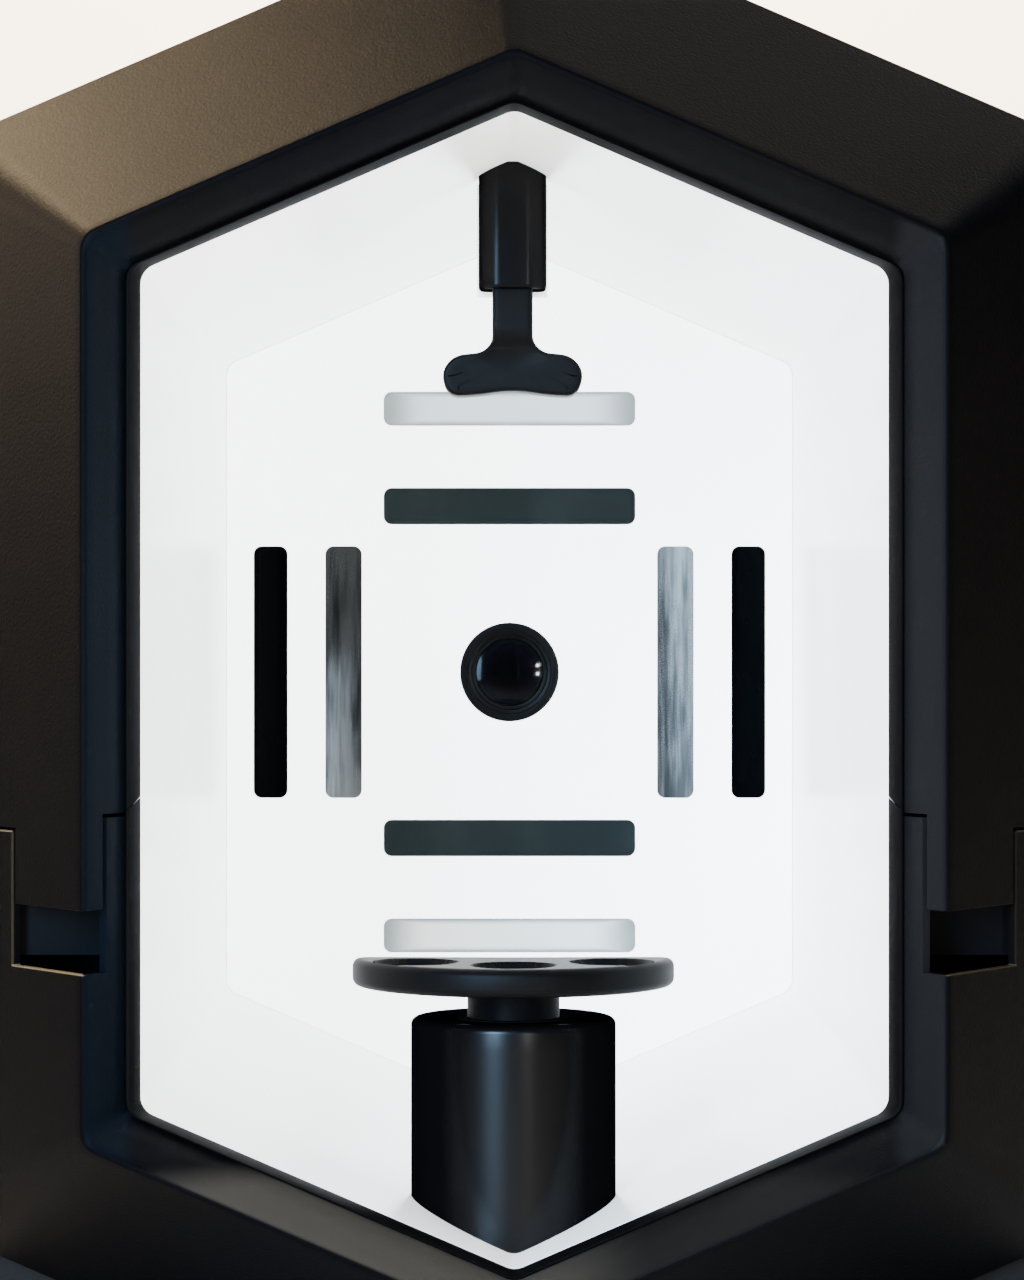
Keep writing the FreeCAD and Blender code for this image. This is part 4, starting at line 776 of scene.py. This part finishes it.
chinPlate()
chinColumn()
stemLow, stemHigh = corners("chin_stem")
stemRadius = (stemHigh[0] - stemLow[0]) / 2
stemMiddle = (*(stemLow[:2] + stemHigh[:2]) / 2, 0)
bottom, top = stemLow[2], stemHigh[2]
stemProfile = softened([(0, bottom), (stemRadius, bottom), (stemRadius, top), (0, top)], chin["stemEdge"], 3)
ride(lathe("chinStem", stemProfile, stemMiddle, "z", "darkPlastic", 72), "chin", "anodised_black", "chin_stem")
print("chin rest made")

rest = dict(stemHalf=6.4, padHalf=22.0, padTop=105.4, padDrop=1.5, padBottom=91.4, archHalf=12.5, archTop=93.4,
            edge=1.3, inset=3.0, fillet=5.5, frontDepth=128.0, stemDepth=134.0, backDepth=141.0,
            easing=(104.5, 112.5), reaches=(0.8, 5.5, 6.95, 6.95, 7.0, 7.5))


def faceDepth(height):
    # the stem's face eases forward to the pad's: front + (stem - front) t^2 (3 - 2t)
    share = np.clip((height - rest["easing"][0]) / (rest["easing"][1] - rest["easing"][0]), 0, 1)
    return rest["frontDepth"] + (rest["stemDepth"] - rest["frontDepth"]) * share**2 * (3 - 2 * share)


def foreheadRest():
    # a T outline carried over a rounded edge; the stem's face lies further back than the pad's
    low, high = corners("forehead_rest")
    top = (high[2] - centreZ) / mm
    half, pad = rest["stemHalf"], rest["padHalf"]
    outline = [(half, top), (half, rest["padTop"]), (pad, rest["padTop"] - rest["padDrop"]),
               (pad, rest["padBottom"]), (rest["archHalf"], rest["padBottom"]), (0, rest["archTop"])]
    mirrored = [(-x, z) for x, z in outline[:-1][::-1]]
    reaches = rest["reaches"]
    loop = softened(outline + mirrored, reaches + reaches[:-1][::-1], 9, True)
    loop = np.vstack([loop, loop[:1]])
    # long straight stretches are divided, so that the face can bend
    span = np.linalg.norm(np.diff(loop, axis=0), axis=1)
    counts = np.maximum((span / 2.0).astype(int), 1)
    loop = np.vstack([np.linspace(a, b, n, endpoint=False) for a, b, n in zip(loop[:-1], loop[1:], counts)])
    ahead = np.roll(loop, -1, 0) - np.roll(loop, 1, 0)
    normal = np.stack([ahead[:, 1], -ahead[:, 0]], -1)
    normal /= np.maximum(np.linalg.norm(normal, axis=1, keepdims=True), 1e-9)
    area = (loop[:, 0] * np.roll(loop[:, 1], -1) - np.roll(loop[:, 0], -1) * loop[:, 1]).sum()
    inward = normal if area < 0 else -normal
    bend = np.linspace(0, math.pi / 2, 6)
    edge = rest["edge"]
    inset, rise = edge * (1 - np.sin(bend)), edge * (1 - np.cos(bend))
    insets = np.concatenate([[rest["inset"]], inset, inset[::-1], [rest["inset"]]])
    rises = np.concatenate([[0], rise, rise[::-1], [0]])
    front = np.arange(len(insets)) < len(insets) / 2
    face = faceDepth(loop[:, 1])
    flat = loop[None] + insets[:, None, None] * inward[None]
    depth = np.where(front[:, None], face[None] + rises[:, None], rest["backDepth"] - rises[:, None])
    # the face is closed by a spine that runs down the stem and out along both arms of the T
    middleZ = (rest["padTop"] + rest["padBottom"]) / 2 + 0.6
    arm = rest["stemHalf"] + rest["fillet"]
    x, z = loop.T
    spineX = np.sign(x) * np.maximum(np.abs(x) - arm, 0) * (pad - 7) / (pad - arm)
    overFillet = rest["padTop"] + rest["fillet"]
    spineZ = np.maximum(middleZ, middleZ + (z - rest["padTop"]) * (overFillet - middleZ) / rest["fillet"])
    spineZ = np.minimum(np.where(z > overFillet, z, spineZ), top - 3)
    spine = [spineX, spineZ]
    sheets = [np.stack([*spine, faceDepth(spineZ)], -1)[None], np.concatenate([flat, depth[..., None]], -1),
              np.stack([*spine, np.full(len(loop), rest["backDepth"])], -1)[None]]
    grid = np.concatenate(sheets) * mm
    points = np.stack([grid[..., 0], frontY + grid[..., 2], centreZ + grid[..., 1]], -1)
    piece = surface("foreheadRest", points, "silicone", wrapColumns=True, sharp=50)
    return ride(piece, "forehead", "rest_grey", "forehead_rest")


foreheadRest()

sleeve = dict(flat=6.5, chamfer=4.2, corner=2.4, lip=1.3, holeHalf=(6.55, 3.65), holeDepth=137.5, holeRise=25.0,
              squareness=0.35)


def foreheadSleeve():
    # a six-sided outline runs up to the roof; below, it turns over a round lip into the stem's hole
    low, high = corners("forehead_sleeve")
    half = high[0] / mm
    front, back = (low[1] - frontY) / mm, (high[1] - frontY) / mm
    side = [(sleeve["flat"], front), (half, front + sleeve["chamfer"]), (half, back)]
    loop = softened(side + [(-x, d) for x, d in side[::-1]], sleeve["corner"], 6, True)
    angle = np.arctan2(loop[:, 1] - sleeve["holeDepth"], loop[:, 0])
    # the hole is a rounded rectangle: (half width cos^n a, half depth sin^n a), with their signs kept
    ways = np.stack([np.cos(angle), np.sin(angle)], -1)
    hole = np.sign(ways) * np.abs(ways)**sleeve["squareness"] * sleeve["holeHalf"] + (0, sleeve["holeDepth"])
    middle = np.array([0, (front + back) / 2])
    away = loop - middle
    away /= np.linalg.norm(away, axis=1, keepdims=True)
    bottom = (low[2] - centreZ) / mm
    roof = liner["mouth"] + 0.4 - roofSlope * np.abs(loop[:, 0])
    sheets = [np.concatenate([loop, roof[:, None]], -1)]
    for turn in np.linspace(0, math.pi / 2, 7):
        flat = loop - away * sleeve["lip"] * (1 - math.cos(turn))
        rise = bottom + sleeve["lip"] * (1 - math.sin(turn))
        sheets.append(np.concatenate([flat, np.full((len(loop), 1), rise)], -1))
    for rise in (bottom, bottom + sleeve["holeRise"]):
        sheets.append(np.concatenate([hole, np.full((len(loop), 1), rise)], -1))
    grid = np.stack(sheets) * mm
    points = np.stack([grid[..., 0], frontY + grid[..., 1], centreZ + grid[..., 2]], -1)
    piece = surface("foreheadSleeve", points, "sleeve", wrapRows=True, wrapColumns=True, sharp=60)
    return ride(piece, "booth", "satin_black", "forehead_sleeve")


foreheadSleeve()
print("forehead rest made")

lens = dict(spare=0.4 * mm, rounding=0.16 * mm, dome=0.78 * mm)
ringRadius = (lensHigh[0] - lensLow[0]) / 2 + lens["spare"]    # almost fills the hole in the panel
glassLow, glassHigh = corners("lens_front_glass")
glassRadius = (glassHigh[0] - glassLow[0]) / 2
lensMiddle = (0, lensLow[1], lensZ)
lipDepth = lensHigh[1] - lensLow[1]
# the ring's front steps down towards the glass: distance beyond the glass and depth, in millimetres
lipSteps = [(0.3, 1.3), (1.6, 1.1), (1.9, 0.5), (3.2, 0.4), (3.4, 0.0)]
stepped = [(glassRadius, lipDepth), *((glassRadius + beyond * mm, depth * mm) for beyond, depth in lipSteps),
           (ringRadius, 0.0), (ringRadius, lipDepth), (glassRadius, lipDepth)]
ride(lathe("lensFrontRing", softened(stepped, lens["rounding"], 3), lensMiddle, "y", "anodised", 128), "booth",
     "anodised_black", "lens_retaining_ring")
# the glass bulges by dome (1 - share^2)
domeShare = np.linspace(0, 1, 14)
dome = np.stack([glassRadius * domeShare, glassLow[1] - lensLow[1] + lens["dome"] * domeShare**2], -1)
domeBack = glassHigh[1] - lensLow[1]
dome = np.vstack([dome, [(glassRadius, domeBack), (0, domeBack)]])
ride(lathe("lensFrontGlass", dome, lensMiddle, "y", "lens", 96), "booth", "lens_glass", "lens_front_glass")
focusLow, focusHigh = corners("lens_focus_ring")
focusRadius = (focusHigh[0] - focusLow[0]) / 2
focusLength = focusHigh[1] - focusLow[1]
focus = dict(ribs=60, rib=0.28 * mm, fade=1.5 * mm, wall=2.9 * mm, band=0.6 * mm)


def knurl(turn, along, radius):
    # shallow ribs round the grip, rib (cos(ribs a) - 1), fading out at its ends
    grip = np.clip(np.minimum(along, focusLength - along) / focus["fade"] - 0.4, 0, 1)
    ribs = focus["rib"] * (np.cos(focus["ribs"] * turn) - 1) * grip
    return np.where(radius > focusRadius - focus["band"], ribs, 0)


focusBore = focusRadius - focus["wall"]
focusProfile = [(focusBore, 0), *[(focusRadius, focusLength * step / 8) for step in range(9)],
                (focusBore, focusLength), (focusBore, 0)]
ride(lathe("focusRing", focusProfile, (0, focusLow[1], lensZ), "y", "anodised", 360, knurl), "focus",
     "anodised_black", "lens_focus_ring")
print("lens made")

studio = dict(floor=(0.80, 0.77, 0.72), reach=8.0, front=-6.0, back=3.0, top=4.5, bend=1.4,
              air=(0.90, 0.89, 0.87, 1), airStrength=0.09)


def backdrop():
    # a floor that sweeps up behind the booth in one curve
    back = studio["back"]
    sweep = softened([(studio["front"], 0.0), (back, 0.0), (back, studio["top"])], studio["bend"], 12)
    across = np.linspace(-studio["reach"], studio["reach"], 5)[:, None]
    return surface("backdrop", np.stack(np.broadcast_arrays(across, *sweep.T[:, None]), -1), "stage")


stage = Finish("stagePaper", Roughness=0.9)
stage.feed("Base Color", stage.blend(studio["floor"], tuple(0.97 * part for part in studio["floor"]),
                                     stage.noise(3.0)))
finishes["stage"] = stage
backdrop()

lamps = {
    # name: place, aim, width, height, watts, colour, spread in degrees, seen in reflections
    "chamberFill": ((0, frontY - 0.30, centreZ), (0, 1, centreZ), 0.26, 0.38, 5.0, (1.0, 0.99, 0.97), 180, False),
    "warmAbove": ((-1.0, 0.46, 1.62), (-0.14, -0.2, 0.42), 0.7, 0.7, 15.5, (1.0, 0.76, 0.47), 60, True),
    "warmSide": ((-1.35, 0.40, 0.78), (-0.15, -0.2, 0.35), 0.8, 0.8, 3.8, (1.0, 0.76, 0.53), 60, True),
    "ceiling": ((0.3, 0.8, 2.0), (0.1, -0.2, 0.45), 1.2, 1.2, 8.0, (1.0, 0.90, 0.76), 120, True),
    "backSoft": ((1.0, 2.0, 1.4), (0.1, 0.1, 0.25), 1.0, 1.0, 26.0, (1.0, 0.95, 0.88), 90, True),
    "coolTall": ((-0.80, -2.1, 0.65), (0, -0.1, 0.15), 0.60, 1.2, 22.0, (0.42, 0.68, 1.0), 60, True),
    "curtainRight": ((0.183, -2.2, 0.30), (0.06, 0, 0.25), 0.013, 0.5, 0.08, (0.66, 0.84, 1.0), 180, True),
    "curtainLeft": ((-0.168, -2.2, 0.14), (-0.06, 0, 0.25), 0.008, 0.2, 0.012, (0.80, 0.90, 1.0), 180, True),
    "glintHigh": ((0.55, -2.2, 0.36), (0, 0.15, 0.25), 0.05, 0.05, 0.22, (1.0, 1.0, 1.0), 40, True),
    "glintLow": ((0.55, -2.2, 0.20), (0, 0.15, 0.25), 0.05, 0.05, 0.22, (1.0, 1.0, 1.0), 40, True),
    "wallWash": ((0.0, 2.2, 2.3), (0, 3.0, 0.8), 2.4, 0.6, 400.0, (1.0, 0.86, 0.68), 180, False),
}


def aim(thing, place, target):
    # the thing stands at `place` and looks at `target`: tilt = 90 + atan(rise / run) degrees, then a turn to face it
    way = np.array(target, float) - np.array(place, float)
    thing.location = place
    flat = math.hypot(way[0], way[1])
    thing.rotation_euler = (math.pi / 2 + math.atan2(way[2], flat), 0, math.atan2(way[1], way[0]) - math.pi / 2)


for name, (place, target, width, height, watts, colour, spread, glossy) in lamps.items():
    light = bpy.data.lights.new(name, "AREA")
    light.shape = "RECTANGLE"
    light.size = width
    light.size_y = height
    light.energy = watts
    light.color = colour
    light.spread = math.radians(spread)
    lamp = bpy.data.objects.new(name, light)
    bpy.context.scene.collection.objects.link(lamp)
    lamp.visible_glossy = glossy
    aim(lamp, place, target)

world = bpy.data.worlds.new("studioAir")
world.use_nodes = True
air = world.node_tree.nodes["Background"]
air.inputs["Color"].default_value = studio["air"]
air.inputs["Strength"].default_value = studio["airStrength"]
bpy.context.scene.world = world

view = dict(x=-5.9 * mm, back=1.070, rise=15.3 * mm, lens=106.9, sensor=36, shiftX=0.0141, shiftY=-0.0023)
camera = bpy.data.objects.new("camera", bpy.data.cameras.new("camera"))
bpy.context.scene.collection.objects.link(camera)
camera.data.lens = view["lens"]
camera.data.sensor_width = view["sensor"]
camera.data.shift_x = view["shiftX"]
camera.data.shift_y = view["shiftY"]
camera.location = (view["x"], frontY - view["back"], centreZ + view["rise"])
camera.rotation_euler = (math.pi / 2, 0, 0)
bpy.context.scene.camera = camera
print("light and camera set")
